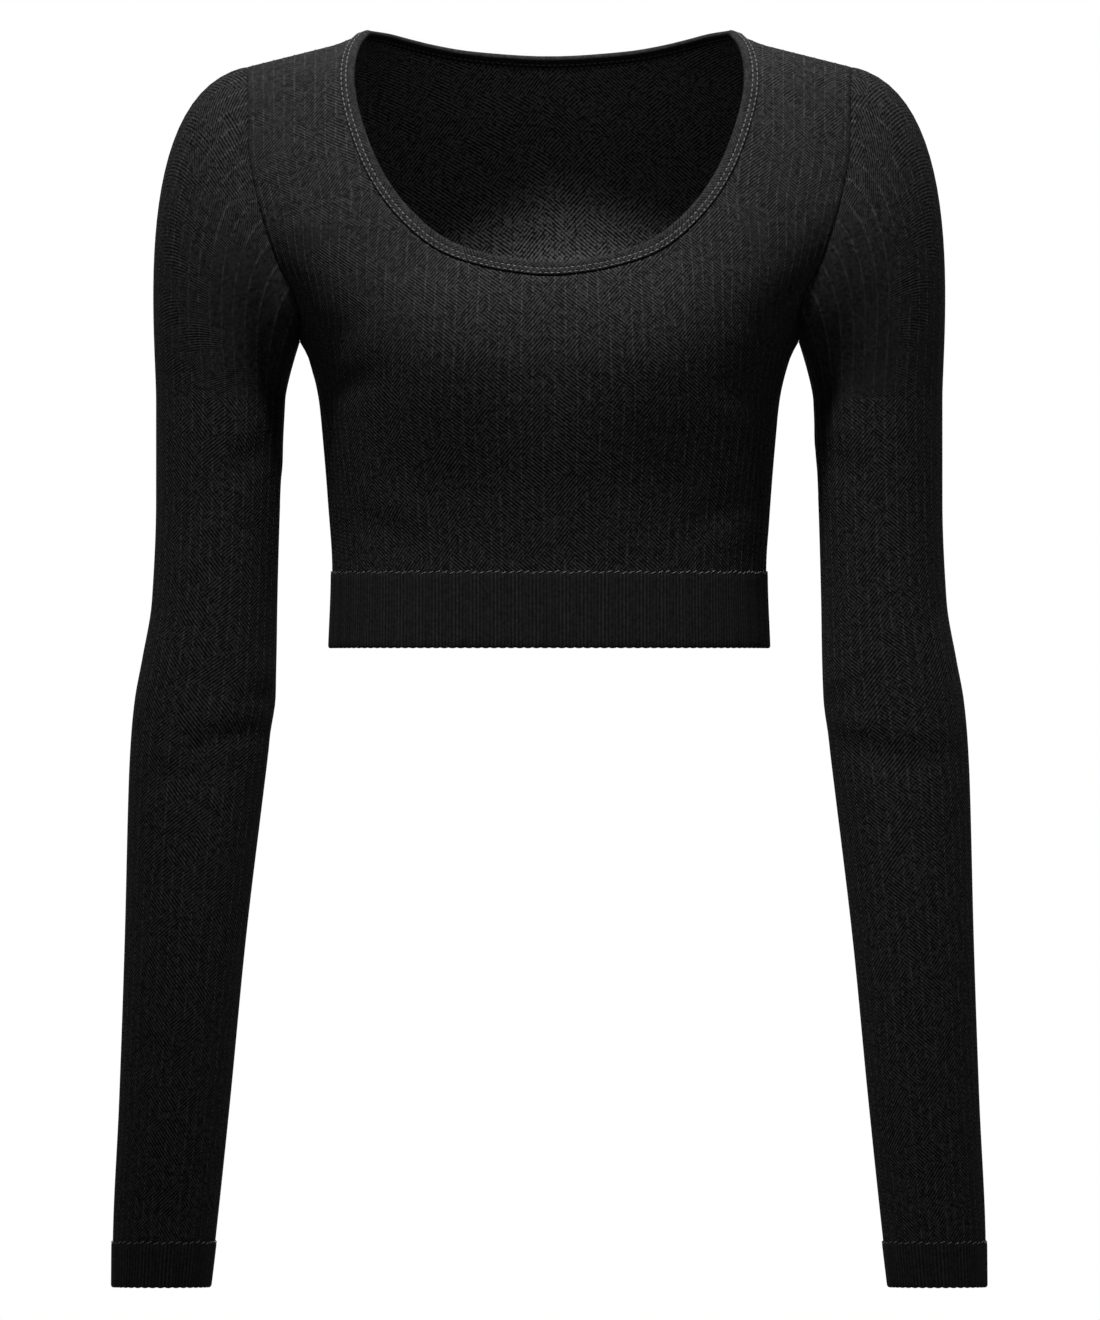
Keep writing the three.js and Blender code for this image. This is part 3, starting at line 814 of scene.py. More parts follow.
def cell_corners(rows: int, columns: int, round_about: bool) -> Points:
    """List the four corners of each cell of a grid.

    Args:
        rows: Rows of points.
        columns: Columns of points.
        round_about: Whether the last column joins the first.

    Returns:
        Row and column of each corner, in order round the cell; a column may be one too many.
    """
    cells = columns if round_about else columns - 1
    r, c = np.meshgrid(np.arange(rows - 1), np.arange(cells), indexing="ij")
    r, c = r.ravel(), c.ravel()
    corners = [(r, c), (r, c + 1), (r + 1, c + 1), (r + 1, c)]
    return np.stack([np.stack(pair, axis=-1) for pair in corners], axis=1)


def grid_piece(
    name: str,
    grid: Points,
    round_about: bool,
    cloth: tuple[Points, Points],
    rib: Points,
    keep: Points | None = None,
    flip: bool = False,
    close_rows: bool = False,
) -> Any:
    """Make a mesh from a grid of points.

    Args:
        name: The object's name.
        grid: Points in rows and columns, in millimetres.
        round_about: Whether the last column joins the first.
        cloth: Millimetres across and along the cloth, each as rows and columns, with one more
            column than the grid where it goes round.
        rib: The rib mark of each point.
        keep: Which points stay, or None for all.
        flip: Whether the faces turn the other way.
        close_rows: Whether the last row joins the first as well.

    Returns:
        The new object.
    """
    rows, columns = grid.shape[:2]
    corners = cell_corners(rows + close_rows, columns, round_about)
    if flip:
        corners = corners[:, ::-1]
    r, c = corners[..., 0], corners[..., 1]
    index = (r % rows) * columns + c % columns
    if keep is not None:
        stays = keep.ravel()[index].all(axis=1)
        index, r, c = index[stays], r[stays], c[stays]
        used = np.unique(index)
        renumber = np.full(rows * columns, -1)
        renumber[used] = np.arange(len(used))
        index = renumber[index]
    else:
        used = np.arange(rows * columns)
    uv = np.stack([cloth[0][r, c], cloth[1][r, c]], axis=-1)
    marks = {CLOTH_MAP: uv.reshape(-1, 2), RIB_MARK: rib.ravel()[used]}
    return make_piece(name, grid.reshape(-1, 3)[used], index.tolist(), marks)


@dataclass(frozen=True)
class Cut:
    """The size of one cut of cloth in metres."""

    width: float
    length: float
    area: float


def thicken(piece: Any, thickness: float) -> None:
    """Give a single surface its inner face, with a finish of its own, and leave the outer one.

    Args:
        piece: The surface.
        thickness: The distance between the two faces, in millimetres.
    """
    bpy.ops.object.select_all(action="DESELECT")
    bpy.context.view_layer.objects.active = piece
    piece.select_set(True)
    for _ in range(2):
        piece.data.materials.append(None)
    wall = piece.modifiers.new("wall", "SOLIDIFY")
    wall.thickness = thickness * MM
    wall.offset = -1
    wall.use_even_offset = False
    wall.material_offset = 1
    bpy.ops.object.modifier_apply(modifier=wall.name)
    piece.select_set(False)


def attach(piece: Any, materials: Sequence[Any], nodes: Sequence[str] = ()) -> None:
    """Give a piece its finish, its body and the CAD nodes that it stands for.

    Args:
        piece: The piece.
        materials: Its finish, and that of its inner face where that is another one.
        nodes: The CAD nodes that it replaces.
    """
    slots = piece.data.materials
    for place, finish in enumerate(materials):
        if place < len(slots):
            slots[place] = finish
        else:
            slots.append(finish)
    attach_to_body(piece, ROOT)
    if nodes:
        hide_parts(*nodes)
    log.info("%s: %d faces", piece.name, len(piece.data.polygons))


def declare(piece: Any, cut: Cut) -> None:
    """Say what cut of cloth a piece is.

    Args:
        piece: The piece.
        cut: Its cut.
    """
    log.info("%s: cut %.0f x %.0f mm", piece.name, cut.width / MM, cut.length / MM)


# Ribs, which both the panels and the sleeves have


# Columns of points in one rib spacing, and how much of the rib stands at each
RIB_PLACES = (0.0, 0.37, 0.41, 0.455, 0.5, 0.545, 0.59, 0.63)
RIB_RISES = (0.0, 0.0, 0.0, 0.8, 1.0, 0.8, 0.0, 0.0)


def rib_columns(count: int) -> tuple[Points, Points]:
    """Place the columns of points for a number of ribs.

    Args:
        count: The number of ribs.

    Returns:
        Each column's place in rib spacings, and how much of a rib stands there, from 0 to 1.
    """
    places = (np.arange(count)[:, None] + np.array(RIB_PLACES)).ravel()
    return places, np.tile(RIB_RISES, count)


def leaving(turn: Points) -> Points:
    """Give the direction in which the sleeve leaves the armhole.

    Args:
        turn: Places round the armhole, from the underarm by way of the front.

    Returns:
        Vectors of length one.
    """
    rise = (1 - np.cos(2 * math.pi * turn)) / 2
    # Out, forward and up: nearly straight down at the underarm, nearly level at the shoulder
    parts = (0.3 + 0.7 * rise**0.6, -0.15 * np.sin(2 * math.pi * turn), -0.95 + 0.75 * rise)
    return unit(np.stack(parts, axis=-1))


@dataclass(frozen=True)
class ArmholeRim:
    """One panel's armhole edge from the underarm up: its points, the way in, the way across."""

    point: Points
    through: Points
    off: Points


def cut_of(grid: Points, width: float, length: float, keep: Any = True) -> Cut:
    """Size a cut from the grid of points that it covers.

    Args:
        grid: The points.
        width: The widest row, in millimetres.
        length: The longest column.
        keep: Which cells of the grid belong to it.

    Returns:
        The cut, its area no more than that of its width by its length.
    """
    across, up = np.diff(grid, axis=1)[:-1], np.diff(grid, axis=0)[:, :-1]
    cells = np.linalg.norm(np.cross(across, up), axis=-1) * keep
    area = min(float(cells.sum()), width * length)
    return Cut(width * MM, length * MM, area * MM * MM)


@dataclass
class Panel:
    """The front or the back of the body, from under the hem band to the shoulder line."""

    side: Side
    creases: tuple[Crease, ...]
    ribs: int = 58
    rib_height: float = 0.22
    row_step: float = 4.4
    armhole_rows: int = 45
    crowding: float = 1.25
    # From this height to this share of the armhole's rows the ribs run straight on, and the
    # width that a row has over is taken up near its edge, the more so the higher the power
    ease_from: float = -209.0
    ease_at: float = 4 / 9
    ease_power: float = 6.0
    groove: float = 0.1
    # How far the turned-in edge goes in, and how far the neck edge runs under the binding
    allowance: tuple[float, ...] = (1.0, 2.6)
    binding_overlap: float = 2.2
    neck_reach: float = -140.0
    seam_clearance: float = 0.04
    edge_crest: float = 0.2

    def armhole_heights(self, torso: Torso, shares: Points) -> Points:
        """Give the heights at which the rows above the underarm meet the armhole edge.

        Args:
            torso: The surface.
            shares: Shares of the way up the rows, from 0 to 1.

        Returns:
            The height of each row's end.
        """
        share = (1 - np.cos(np.linspace(0, math.pi, 400))) / 2
        z = UNDERARM_Z + (SHOULDER_TIP_Z - UNDERARM_Z) * share
        line = torso.point(self.side, torso.edge(z), z)
        lengths = lengths_along(line)
        wanted = lengths[-1] * (1 - (1 - shares) ** self.crowding)
        return np.interp(wanted, lengths, z)

    def rows(self, torso: Torso) -> list[tuple[Points, Points, Points]]:
        """Sample each half row from the centre to the edge.

        Args:
            torso: The surface.

        Returns:
            For each row, from the lowest up: X, height and length so far of its samples.
        """
        low = HEM_TOP - TUCK
        count = round((UNDERARM_Z - low) / self.row_step)
        found = []
        for z in np.linspace(low, UNDERARM_Z, count + 1):
            x = ACROSS_HALF * torso.edge(z)
            found.append((x, np.full_like(x, z)))
        shares = np.arange(1, self.armhole_rows + 1) / self.armhole_rows
        for z in self.armhole_heights(torso, shares):
            edge = torso.edge(z)
            rise = (z - UNDERARM_Z) / (torso.shoulder(edge) - UNDERARM_Z)
            x = ACROSS_HALF * edge
            found.append((x, UNDERARM_Z + rise * (torso.shoulder(x) - UNDERARM_Z)))
        return [(x, z, lengths_along(torso.point(self.side, x, z))) for x, z in found]

    def base_grid(self, torso: Torso) -> tuple[Points, Points]:
        """Lay the rib columns over the surface.

        Args:
            torso: The surface.

        Returns:
            The grid of points, and each column's place in rib spacings.
        """
        rows = self.rows(torso)
        middle = np.array([z[0] for _, z, _ in rows])
        totals = np.array([lengths[-1] for _, _, lengths in rows])
        first = int(np.argmin(np.abs(middle - self.ease_from)))
        last = len(rows) - 1 - self.armhole_rows + round(self.ease_at * self.armhole_rows)
        share = (middle - middle[first]) / (middle[last] - middle[first])
        eased = totals[first] + (totals[last] - totals[first]) * share
        eased = np.where((share < 0) | (share > 1), totals, eased)
        places, _ = rib_columns(self.ribs)
        places = np.append(places, self.ribs)
        half = self.ribs / 2
        f = np.abs(places - half) / half
        sign = np.sign(places - half)
        grid = []
        for (x, z, lengths), total, kept in zip(rows, totals, eased):
            wanted = f * kept + (total - kept) * f**self.ease_power
            at = np.interp(wanted, lengths, x)
            point = torso.point(self.side, at, np.interp(at, x, z))
            grid.append(point * np.stack([sign, np.ones_like(f), np.ones_like(f)], axis=-1))
        grid = np.stack(grid)
        grid[..., 1] = self.side.value * np.maximum(np.abs(grid[..., 1]), self.seam_clearance)
        return grid, places

    def normals(self, grid: Points) -> Points:
        """Give outward directions, level at the side seams and upright at the shoulders.

        Args:
            grid: The panel's points.

        Returns:
            A vector of length one for each point.
        """
        normals = -self.side.value * grid_normals(grid, False)
        first = len(grid) - 1 - self.armhole_rows
        for column in (0, -1):
            normals[: first + 1, column, 1] = 0
        normals[-1, :, 1] = 0
        return unit(normals)

    def rim(self, grid: Points, normals: Points) -> ArmholeRim:
        """Work out the armhole edge on the +X side.

        Args:
            grid: The panel's points.
            normals: The outward direction at each of them.

        Returns:
            The edge.
        """
        first = len(grid) - 1 - self.armhole_rows
        edge, square = grid[first:, -1], normals[first:, -1]
        onward = -self.side.value * np.gradient(edge, axis=0)
        onward[0], onward[-1] = (0, -1, 0), (0, 1, 0)
        onward = unit(onward)
        half = np.linspace(0, 0.5, self.armhole_rows + 1)
        out = leaving(half if self.side is Side.FRONT else 1 - half)
        through = -unit(square + unit(np.cross(out, onward)))
        off = unit(np.cross(onward, through))
        off = off * np.sign(np.sum(off * out, axis=-1, keepdims=True))
        return ArmholeRim(edge, through, off)

    def build(self, torso: Torso, neck: NeckStation, finishes: Finishes) -> ArmholeRim:
        """Make the panel and dress it.

        Args:
            torso: The surface that it follows.
            neck: The neck edge, under whose binding it ends.
            finishes: The materials.

        Returns:
            Its armhole edge.
        """
        grid, places = self.base_grid(torso)
        normals = self.normals(grid)
        rim = self.rim(grid, normals)
        _, rises = rib_columns(self.ribs)
        rises = np.append(rises, 0.0)
        lift = np.broadcast_to(rises * self.rib_height, grid.shape[:2]).copy()
        lift += lifted(self.creases, grid[..., 0], grid[..., 2])
        lift[:, (0, -1)] = -self.groove
        lift[-1] = -self.groove
        lift[-2] = np.minimum(lift[-2], self.edge_crest)
        surface = grid + normals * lift[..., None]
        inward = -normals[:, -1].copy()
        inward[len(grid) - 1 - self.armhole_rows :] = rim.through
        right = [grid[:, -1] + inward * a for a in self.allowance]
        left = [grid[:, 0] + inward * MIRROR * a for a in self.allowance[::-1]]
        surface = np.concatenate([np.stack(left, 1), surface, np.stack(right, 1)], axis=1)
        top = [surface[-1] - [0, 0, a - self.groove] for a in self.allowance]
        surface = np.concatenate([surface, np.stack(top)], axis=0)
        pad = len(self.allowance)
        marks = np.pad(np.broadcast_to(rises, grid.shape[:2]), ((0, pad), (pad, pad)))
        widths = np.linalg.norm(np.diff(grid, axis=1), axis=-1).sum(axis=1)
        height = lengths_along(grid[:, grid.shape[1] // 2])
        spacing = widths.max() / self.ribs
        u = np.pad(places * spacing, (pad, pad), mode="edge")
        v = np.pad(height, (0, pad), mode="edge")
        cloth = np.meshgrid(u, v)
        keep = self.outside_neck(surface, neck)
        shown = keep[: len(grid), pad:-pad]
        cut = cut_of(grid, widths.max(), height[-1], shown[:-1, :-1] & shown[1:, 1:])
        side = self.side.name.lower()
        piece = grid_piece(f"{side}_panel_knit", surface, False, cloth, marks, keep,
                           self.side is Side.BACK)
        thicken(piece, CLOTH_THICKNESS)
        attach(piece, [finishes.rib, finishes.inner], [f"body_{side}"])
        declare(piece, cut)
        return rim

    def outside_neck(self, points: Points, neck: NeckStation) -> Points:
        """Mark the points that lie outside the neck opening, under its binding or beyond.

        Args:
            points: The panel's points, in rows and columns.
            neck: The neck edge.

        Returns:
            True for each point that stays.
        """
        tree = KDTree(len(neck.point))
        for i, place in enumerate(neck.point):
            tree.insert(place, i)
        tree.balance()
        keep = np.ones(points.shape[:2], bool)
        for r, c in zip(*np.nonzero(points[..., 2] > self.neck_reach)):
            place = points[r, c]
            _, i, _ = tree.find(place)
            keep[r, c] = (place - neck.point[i]) @ neck.away[i] > self.binding_overlap
        return keep


class SleeveForm:
    """The sleeve on the +X side: the cap turning over from the armhole, then the tube."""

    cap_start: float = 1.05
    cap_end: float = 0.55

    def __init__(self) -> None:
        """Read the section table."""
        self.outer, self.inner, self.middle, self.depth = profiles(SLEEVE_SECTIONS)

    def point(self, turn: Points, z: Points) -> Points:
        """Give points of the tube.

        Args:
            turn: Places round it, from the underarm by way of the front, from 0 to 1.
            z: Heights.

        Returns:
            The points.
        """
        angle = 2 * math.pi * turn
        half = (self.outer(z) - self.inner(z)) / 2
        x = self.inner(z) + half * (1 - np.cos(angle))
        y = self.middle(z) - self.depth(z) * np.sin(angle)
        return np.stack(np.broadcast_arrays(x, y, z), axis=-1)

    def cap(self, start: Points, turn: Points, t: float) -> Points:
        """Give one row of the cap.

        Args:
            start: Points on the armhole edge.
            turn: Their places round it.
            t: Share of the way from the armhole to the tube.

        Returns:
            The row's points.
        """
        top = SLEEVE_SECTIONS[0][0]
        end = self.point(turn, np.full_like(turn, top))
        below = self.point(turn, np.full_like(turn, top - 1.0))
        way = np.linalg.norm(end - start, axis=-1, keepdims=True)
        leave = leaving(turn) * self.cap_start * way
        return hermite(start, leave, end, (below - end) * self.cap_end * way, t)


@dataclass
class Sleeve:
    """One sleeve, from its armhole seam to under the cuff."""

    arm: Arm
    creases: tuple[Crease, ...]
    ribs: int = 36
    rib_height: float = 0.22
    # Rows of the cap as shares of the way down it: close together at the seam, then even
    cap_edge: tuple[float, ...] = (0.0, 0.008, 0.02)
    cap_from: float = 0.045
    cap_rows: int = 26
    row_step: float = 4.7
    # The width of the cloth map, the same all the way down, so that its lines run on
    girth: float = 240.0
    groove: float = 0.1
    gap: float = 0.2
    evening_rounds: int = 4
    edge_crest: float = 0.1
    allowance: tuple[float, ...] = (1.0, 2.6)

    def base_grid(self, form: SleeveForm, rims: dict[Side, ArmholeRim]) -> tuple[Points, Points]:
        """Lay the rib columns over the sleeve.

        Args:
            form: The sleeve's form.
            rims: The armhole edges of both panels.

        Returns:
            The grid of points, from the armhole down, and the way in at the armhole.
        """
        places, _ = rib_columns(self.ribs)
        turn = places / self.ribs
        in_front = turn <= 0.5
        share = np.where(in_front, 2 * turn, 2 * (1 - turn))
        steps = np.linspace(0, 1, len(rims[Side.FRONT].point))
        edges = {}
        for side, rim in rims.items():
            mixed = [[np.interp(share, steps, values[:, i]) for i in range(3)]
                     for values in (rim.point, rim.through, rim.off)]
            edges[side] = [np.stack(columns, axis=-1) for columns in mixed]
        picked = [np.where(in_front[:, None], a, b)
                  for a, b in zip(edges[Side.FRONT], edges[Side.BACK])]
        picked = [self.evened(values) for values in picked[1:]]
        start = np.where(in_front[:, None], edges[Side.FRONT][0], edges[Side.BACK][0])
        through, off = (unit(values) for values in picked)
        start = start + off * self.gap
        shares = np.concatenate([self.cap_edge, np.linspace(self.cap_from, 1, self.cap_rows)])
        rows = [form.cap(start, turn, t) for t in shares]
        top = SLEEVE_SECTIONS[0][0]
        low = CUFF_TOP - TUCK
        count = round((top - low) / self.row_step)
        heights = np.linspace(top, low, count + 1)[1:]
        rows += [form.point(turn, np.full_like(turn, z)) for z in heights]
        return np.stack(rows), through

    def evened(self, vectors: Points) -> Points:
        """Smooth directions round the armhole, where the two panels' edges meet.

        Args:
            vectors: A direction for each place round it.

        Returns:
            The smoothed directions.
        """
        for _ in range(self.evening_rounds):
            vectors = (np.roll(vectors, 1, axis=0) + 2 * vectors + np.roll(vectors, -1, axis=0)) / 4
        return vectors

    def build(self, form: SleeveForm, rims: dict[Side, ArmholeRim], finishes: Finishes) -> None:
        """Make the sleeve and dress it.

        Args:
            form: The sleeve's form.
            rims: The armhole edges of both panels.
            finishes: The materials.
        """
        grid, through = self.base_grid(form, rims)
        places, rises = rib_columns(self.ribs)
        normals = -grid_normals(grid, True)
        lift = np.broadcast_to(rises * self.rib_height, grid.shape[:2]).copy()
        around = np.broadcast_to(places / self.ribs * self.girth, grid.shape[:2])
        for turn_over in (-self.girth, 0.0, self.girth):
            lift += lifted(self.creases, around + turn_over, grid[..., 2])
        lift[0] = -self.groove
        lift[1] = np.minimum(lift[1], self.edge_crest)
        surface = grid + normals * lift[..., None]
        tucked = [grid[0] + through * a for a in self.allowance[::-1]]
        surface = np.concatenate([np.stack(tucked), surface])
        surface[..., 0] *= self.arm.value
        pad = len(self.allowance)
        marks = np.pad(np.broadcast_to(rises, grid.shape[:2]), ((pad, 0), (0, 0)))
        middle = grid.shape[1] // 2
        run = lengths_along(grid[:, middle])
        edge = np.append(places, self.ribs) / self.ribs * self.girth
        cloth = np.meshgrid(edge, np.pad(run[-1] - run, (pad, 0), mode="edge"))
        arm = self.arm.name.lower()
        piece = grid_piece(f"{arm}_sleeve_knit", surface, True, cloth, marks,
                           flip=self.arm is Arm.LEFT)
        thicken(piece, CLOTH_THICKNESS)
        rounded = np.concatenate([grid, grid[:, :1]], axis=1)
        girths = np.linalg.norm(np.diff(rounded, axis=1), axis=-1).sum(axis=1)
        attach(piece, [finishes.rib, finishes.inner], [f"sleeve_{arm}"])
        declare(piece, cut_of(rounded, girths.max(), run[-1]))


# The thread of the seams


@dataclass(frozen=True)
class Stitch:
    """One visible stitch of sewing thread: a short plump bar."""

    length: float
    width: float
    height: float

    def model(self) -> tuple[Points, list[list[int]]]:
        """Shape one stitch along X with Z upwards.

        Returns:
            Its points in millimetres and its faces.
        """
        bpy.ops.object.select_all(action="DESELECT")
        bpy.ops.mesh.primitive_cylinder_add(
            vertices=6, radius=0.5, depth=0.5, end_fill_type="NGON", rotation=(0, math.pi / 2, 0)
        )
        bar = bpy.context.object
        bpy.ops.object.transform_apply(location=False, rotation=True, scale=False)
        bpy.ops.object.mode_set(mode="EDIT")
        for end in (-1, 1):
            bpy.ops.mesh.select_all(action="DESELECT")
            bpy.ops.object.mode_set(mode="OBJECT")
            for face in bar.data.polygons:
                face.select = face.normal.x * end > 0.9
            bpy.ops.object.mode_set(mode="EDIT")
            bpy.ops.mesh.extrude_region_move(TRANSFORM_OT_translate={"value": (0.25 * end, 0, 0)})
            bpy.ops.transform.resize(value=(1, 0.4, 0.4))
        bpy.ops.object.mode_set(mode="OBJECT")
        points = np.array([v.co for v in bar.data.vertices]) * [self.length, self.width, self.height]
        faces = [list(face.vertices) for face in bar.data.polygons]
        mesh = bar.data
        bpy.data.objects.remove(bar)
        bpy.data.meshes.remove(mesh)
        return points, faces


def sewn(name: str, stitch: Stitch, places: Points, onward: Points, out: Points) -> Any:
    """Copy one stitch along a seam, all in one mesh.

    Args:
        name: The object's name.
        stitch: The stitch.
        places: The middle of each one.
        onward: The way each one lies.
        out: The way each one faces.

    Returns:
        The new object.
    """
    shape, faces = stitch.model()
    onward, out = unit(onward), unit(out)
    side = unit(np.cross(out, onward))
    out = np.cross(onward, side)
    axes = np.stack([onward, side, out], axis=1)
    points = np.einsum("pk,nkj->npj", shape, axes) + places[:, None]
    size = len(shape)
    every = [[i + n * size for i in face] for n in range(len(places)) for face in faces]
    return make_piece(name, points.reshape(-1, 3), every, {})


@dataclass
class NeckBinding:
    """The folded strip round the neck, with two rows of thread on each face."""

    width: float = 8.0
    # Heights off the surface: the outer face, its underside and the inner face
    top: float = 1.25
    under: float = 0.5
    inner: float = -1.95
    seam_rows: tuple[float, float] = (4.6, 7.2)
    stitch_spacing: float = 3.0
    sinking: float = 0.12
    stitch: Stitch = Stitch(2.1, 0.62, 0.42)

    def outline(self) -> list[tuple[float, float]]:
        """Trace the folded strip across.

        Returns:
            Distance from the neck edge and height off the surface of each corner, in order.
        """
        w, top, inner = self.width, self.top, self.inner
        near, far = self.seam_rows
        face = [(w - 0.05, self.under), (w, top - 0.45), (w - 0.2, top - 0.2), (far, top - 0.32),
                (far - 0.55, top), ((near + far) / 2, top + 0.06), (near + 0.55, top),
                (near, top - 0.3), (near - 0.55, top), (2.4, top + 0.1), (1.2, top - 0.02)]
        fold = [(0.45, top - 0.45), (0.08, 0.2), (0, -0.35), (0.08, -0.9), (0.45, inner + 0.4)]
        back = [(1.2, inner), (2.4, inner - 0.1), (near - 0.55, inner), (near, inner + 0.25),
                (near + 0.55, inner), (far - 0.55, inner), (far, inner + 0.25),
                (w - 0.2, inner + 0.15), (w, inner + 0.4), (w - 0.05, -1.0)]
        cavity = [(w - 1, -0.95), (1.6, -0.9), (1.1, -0.2), (1.6, self.under - 0.05),
                  (w - 1, self.under)]
        return face + fold + back + cavity

    def build(self, torso: Torso, neck: NeckStation, finishes: Finishes) -> None:
        """Make the strip and its thread and dress them.

        Args:
            torso: The surface that it follows.
            neck: The neck edge.
            finishes: The materials.
        """
        across, height = zip(*self.outline())
        grid = neck.place(torso, across, height)
        over, run = lengths_round(grid[:, 0]), lengths_round(neck.point)
        cloth = np.meshgrid(over, run, indexing="ij")
        rib = np.zeros(grid.shape[:2])
        piece = grid_piece("neck_binding_knit", grid, True, cloth, rib, close_rows=True)
        threads = [self.thread(torso, "out", self.top), self.thread(torso, "in", self.inner)]
        attach(piece, [finishes.plain], ["neck_binding"])
        for thread in threads:
            attach(thread, [finishes.seam_thread])
        width = 2 * self.width
        cut = Cut(width * MM, run[-1] * MM, width * run[-1] * MM * MM)
        declare(piece, cut)

    def thread(self, torso: Torso, face: str, height: float) -> Any:
        """Sew the two rows on one face of the strip.

        Args:
            torso: The surface that the strip follows.
            face: The face's name, "out" or "in".
            height: The face's height off the surface.

        Returns:
            The thread.
        """
        sign = 1 if height > 0 else -1
        around = lengths_along(neck_loop(torso, 60).point)[-1]
        neck = neck_loop(torso, round(around / self.stitch_spacing / 2))
        rows = neck.place(torso, self.seam_rows, [height - self.sinking * sign] * 2)
        # The second row's stitches lie beside the first row's gaps
        rows[1] = (rows[1] + np.roll(rows[1], -1, axis=0)) / 2
        places = rows.reshape(-1, 3)
        onward = np.tile(neck.onward, (2, 1))
        out = np.tile(neck.out * sign, (2, 1))
        return sewn(f"neck_thread_{face}", self.stitch, places, onward, out)


@dataclass
class Band:
    """A double knit band round the hem or a wrist, with its row of thread."""

    node: str
    # A function that takes a height and a number of points and gives a ring of them
    ring: Callable[[float, int], Points]
    top: float
    bottom: float
    proud: float
    ribs: int
    stitches: int
    inset: float = 1.4
    rib_height: float = 0.22
    # The lower edge rises between every few ribs, less and less over this height
    scallop: float = 0.5
    scallop_reach: float = 3.0
    scallop_ribs: int = 2
    row_step: float = 3.4
    stitch: Stitch = Stitch(3.1, 0.6, 0.42)
    # The stitches' slope as an angle, and how far they stray up and down
    slant: float = 0.38
    waver: float = 0.35

    def outline(self) -> list[tuple[float, float, float]]:
        """Trace the band across.

        Returns:
            Distance out, height, and how much of a rib stands at each corner, in order.
        """
        count = round((self.top - self.bottom) / self.row_step)
        top, low, proud, inset = self.top, self.bottom, self.proud, self.inset
        outer = [(proud, z, 1.0) for z in np.linspace(top - 1.3, low + 1.4, count)]
        lip = [(0.1, top - 0.15, 0.0), (proud - 0.2, top - 0.2, 0.0), (proud - 0.05, top - 0.6, 0.4)]
        fold = [(proud - 0.12, low + 0.6, 0.8), (proud - 0.5, low + 0.12, 0.4),
                ((proud - inset) / 2, low, 0.0), (0.4 - inset, low + 0.12, 0.0),
                (-inset, low + 0.7, 0.0)]
        inner = [(-inset, (top + low) / 2, 0.0), (-inset, top - 0.6, 0.0),
                 (0.4 - inset, top - 0.15, 0.0)]
        return lip + outer + fold + inner

    def build(self, finishes: Finishes) -> None:
        """Make the band and its thread and dress them.

        Args:
            finishes: The materials.
        """
        columns = 2 * self.ribs
        rise = np.arange(columns) % 2
        dip = np.abs(np.sin(math.pi * np.arange(columns) / (2 * self.scallop_ribs)))
        rows, marks = [], []
        for off, z, share in self.outline():
            ring = self.ring(z, columns)
            out = self.outward(ring)
            place = ring + out * (off + rise * share * self.rib_height)[:, None]
            low = max(0.0, 1 - (z - self.bottom) / self.scallop_reach)
            place[:, 2] += self.scallop * low * (1 - dip) if off > -self.inset else 0.0
            rows.append(place)
            marks.append(rise * share)
        grid = np.stack(rows)
        run, over = lengths_round(self.ring(self.top, columns)), lengths_round(grid[:, 0])
        cloth = np.meshgrid(run, over)
        piece = grid_piece(f"{self.node}_knit", grid, True, cloth, np.stack(marks), flip=True,
                           close_rows=True)
        thread = self.thread()
        attach(piece, [finishes.band], [self.node])
        attach(thread, [finishes.band_thread])
        length = self.top - self.bottom
        cut = Cut(run[-1] * MM, length * MM, run[-1] * length * MM * MM)
        declare(piece, cut)

    def outward(self, ring: Points) -> Points:
        """Give the level direction out of a ring at each of its points."""
        step = np.roll(ring, -1, axis=0) - np.roll(ring, 1, axis=0)
        return unit(np.stack([step[:, 1], -step[:, 0], np.zeros(len(step))], axis=-1))

    def thread(self) -> Any:
        """Sew the slanting stitches that hold the band to the cloth above.

        Returns:
            The thread.
        """
        ring = self.ring(self.top - 0.1, self.stitches)
        out = self.outward(ring)
        step = unit(np.roll(ring, -1, axis=0) - np.roll(ring, 1, axis=0))
        place = ring + out * (self.proud - 0.02)
        place[:, 2] += self.waver * np.sin(np.arange(self.stitches) * 1.7)
        lie = step * math.cos(self.slant) + np.array([0, 0, math.sin(self.slant)])
        return sewn(f"{self.node}_thread", self.stitch, place, lie, out)


def torso_ring(torso: Torso) -> Callable[[float, int], Points]:
    """Give a function that runs once round the body at a height, against the clock from above.

    Args:
        torso: The body's form.

    Returns:
        The function.
    """

    def ring(z: float, columns: int) -> Points:
        """Place points round the body.

        Args:
            z: Their height.
            columns: How many there are, evenly spaced.

        Returns:
            The points.
        """
        x = ACROSS_HALF * torso.edge(np.float64(z))
        front, back = (torso.point(side, x, np.full_like(x, z)) for side in Side)
        right = np.concatenate([front, back[-2::-1]])
        whole = np.concatenate([right, right[-2:0:-1] * MIRROR, right[:1]])
        return along(whole, np.arange(columns) / columns * lengths_along(whole)[-1])

    return ring


def sleeve_ring(form: SleeveForm, arm: Arm) -> Callable[[float, int], Points]:
    """Give a function that runs once round a sleeve at a height, against the clock from above.

    Args:
        form: The sleeve's form.
        arm: Which sleeve it is.

    Returns:
        The function.
    """

    def ring(z: float, columns: int) -> Points:
        """Place points round the sleeve.

        Args:
            z: Their height.
            columns: How many there are, evenly spaced.

        Returns:
            The points.
        """
        turn = np.linspace(0, 1, 241)
        line = form.point(turn, np.full_like(turn, z)) * [arm.value, 1, 1]
        line = line if arm is Arm.LEFT else line[::-1]
        return along(line, np.arange(columns) / columns * lengths_along(line)[-1])

    return ring


# The studio


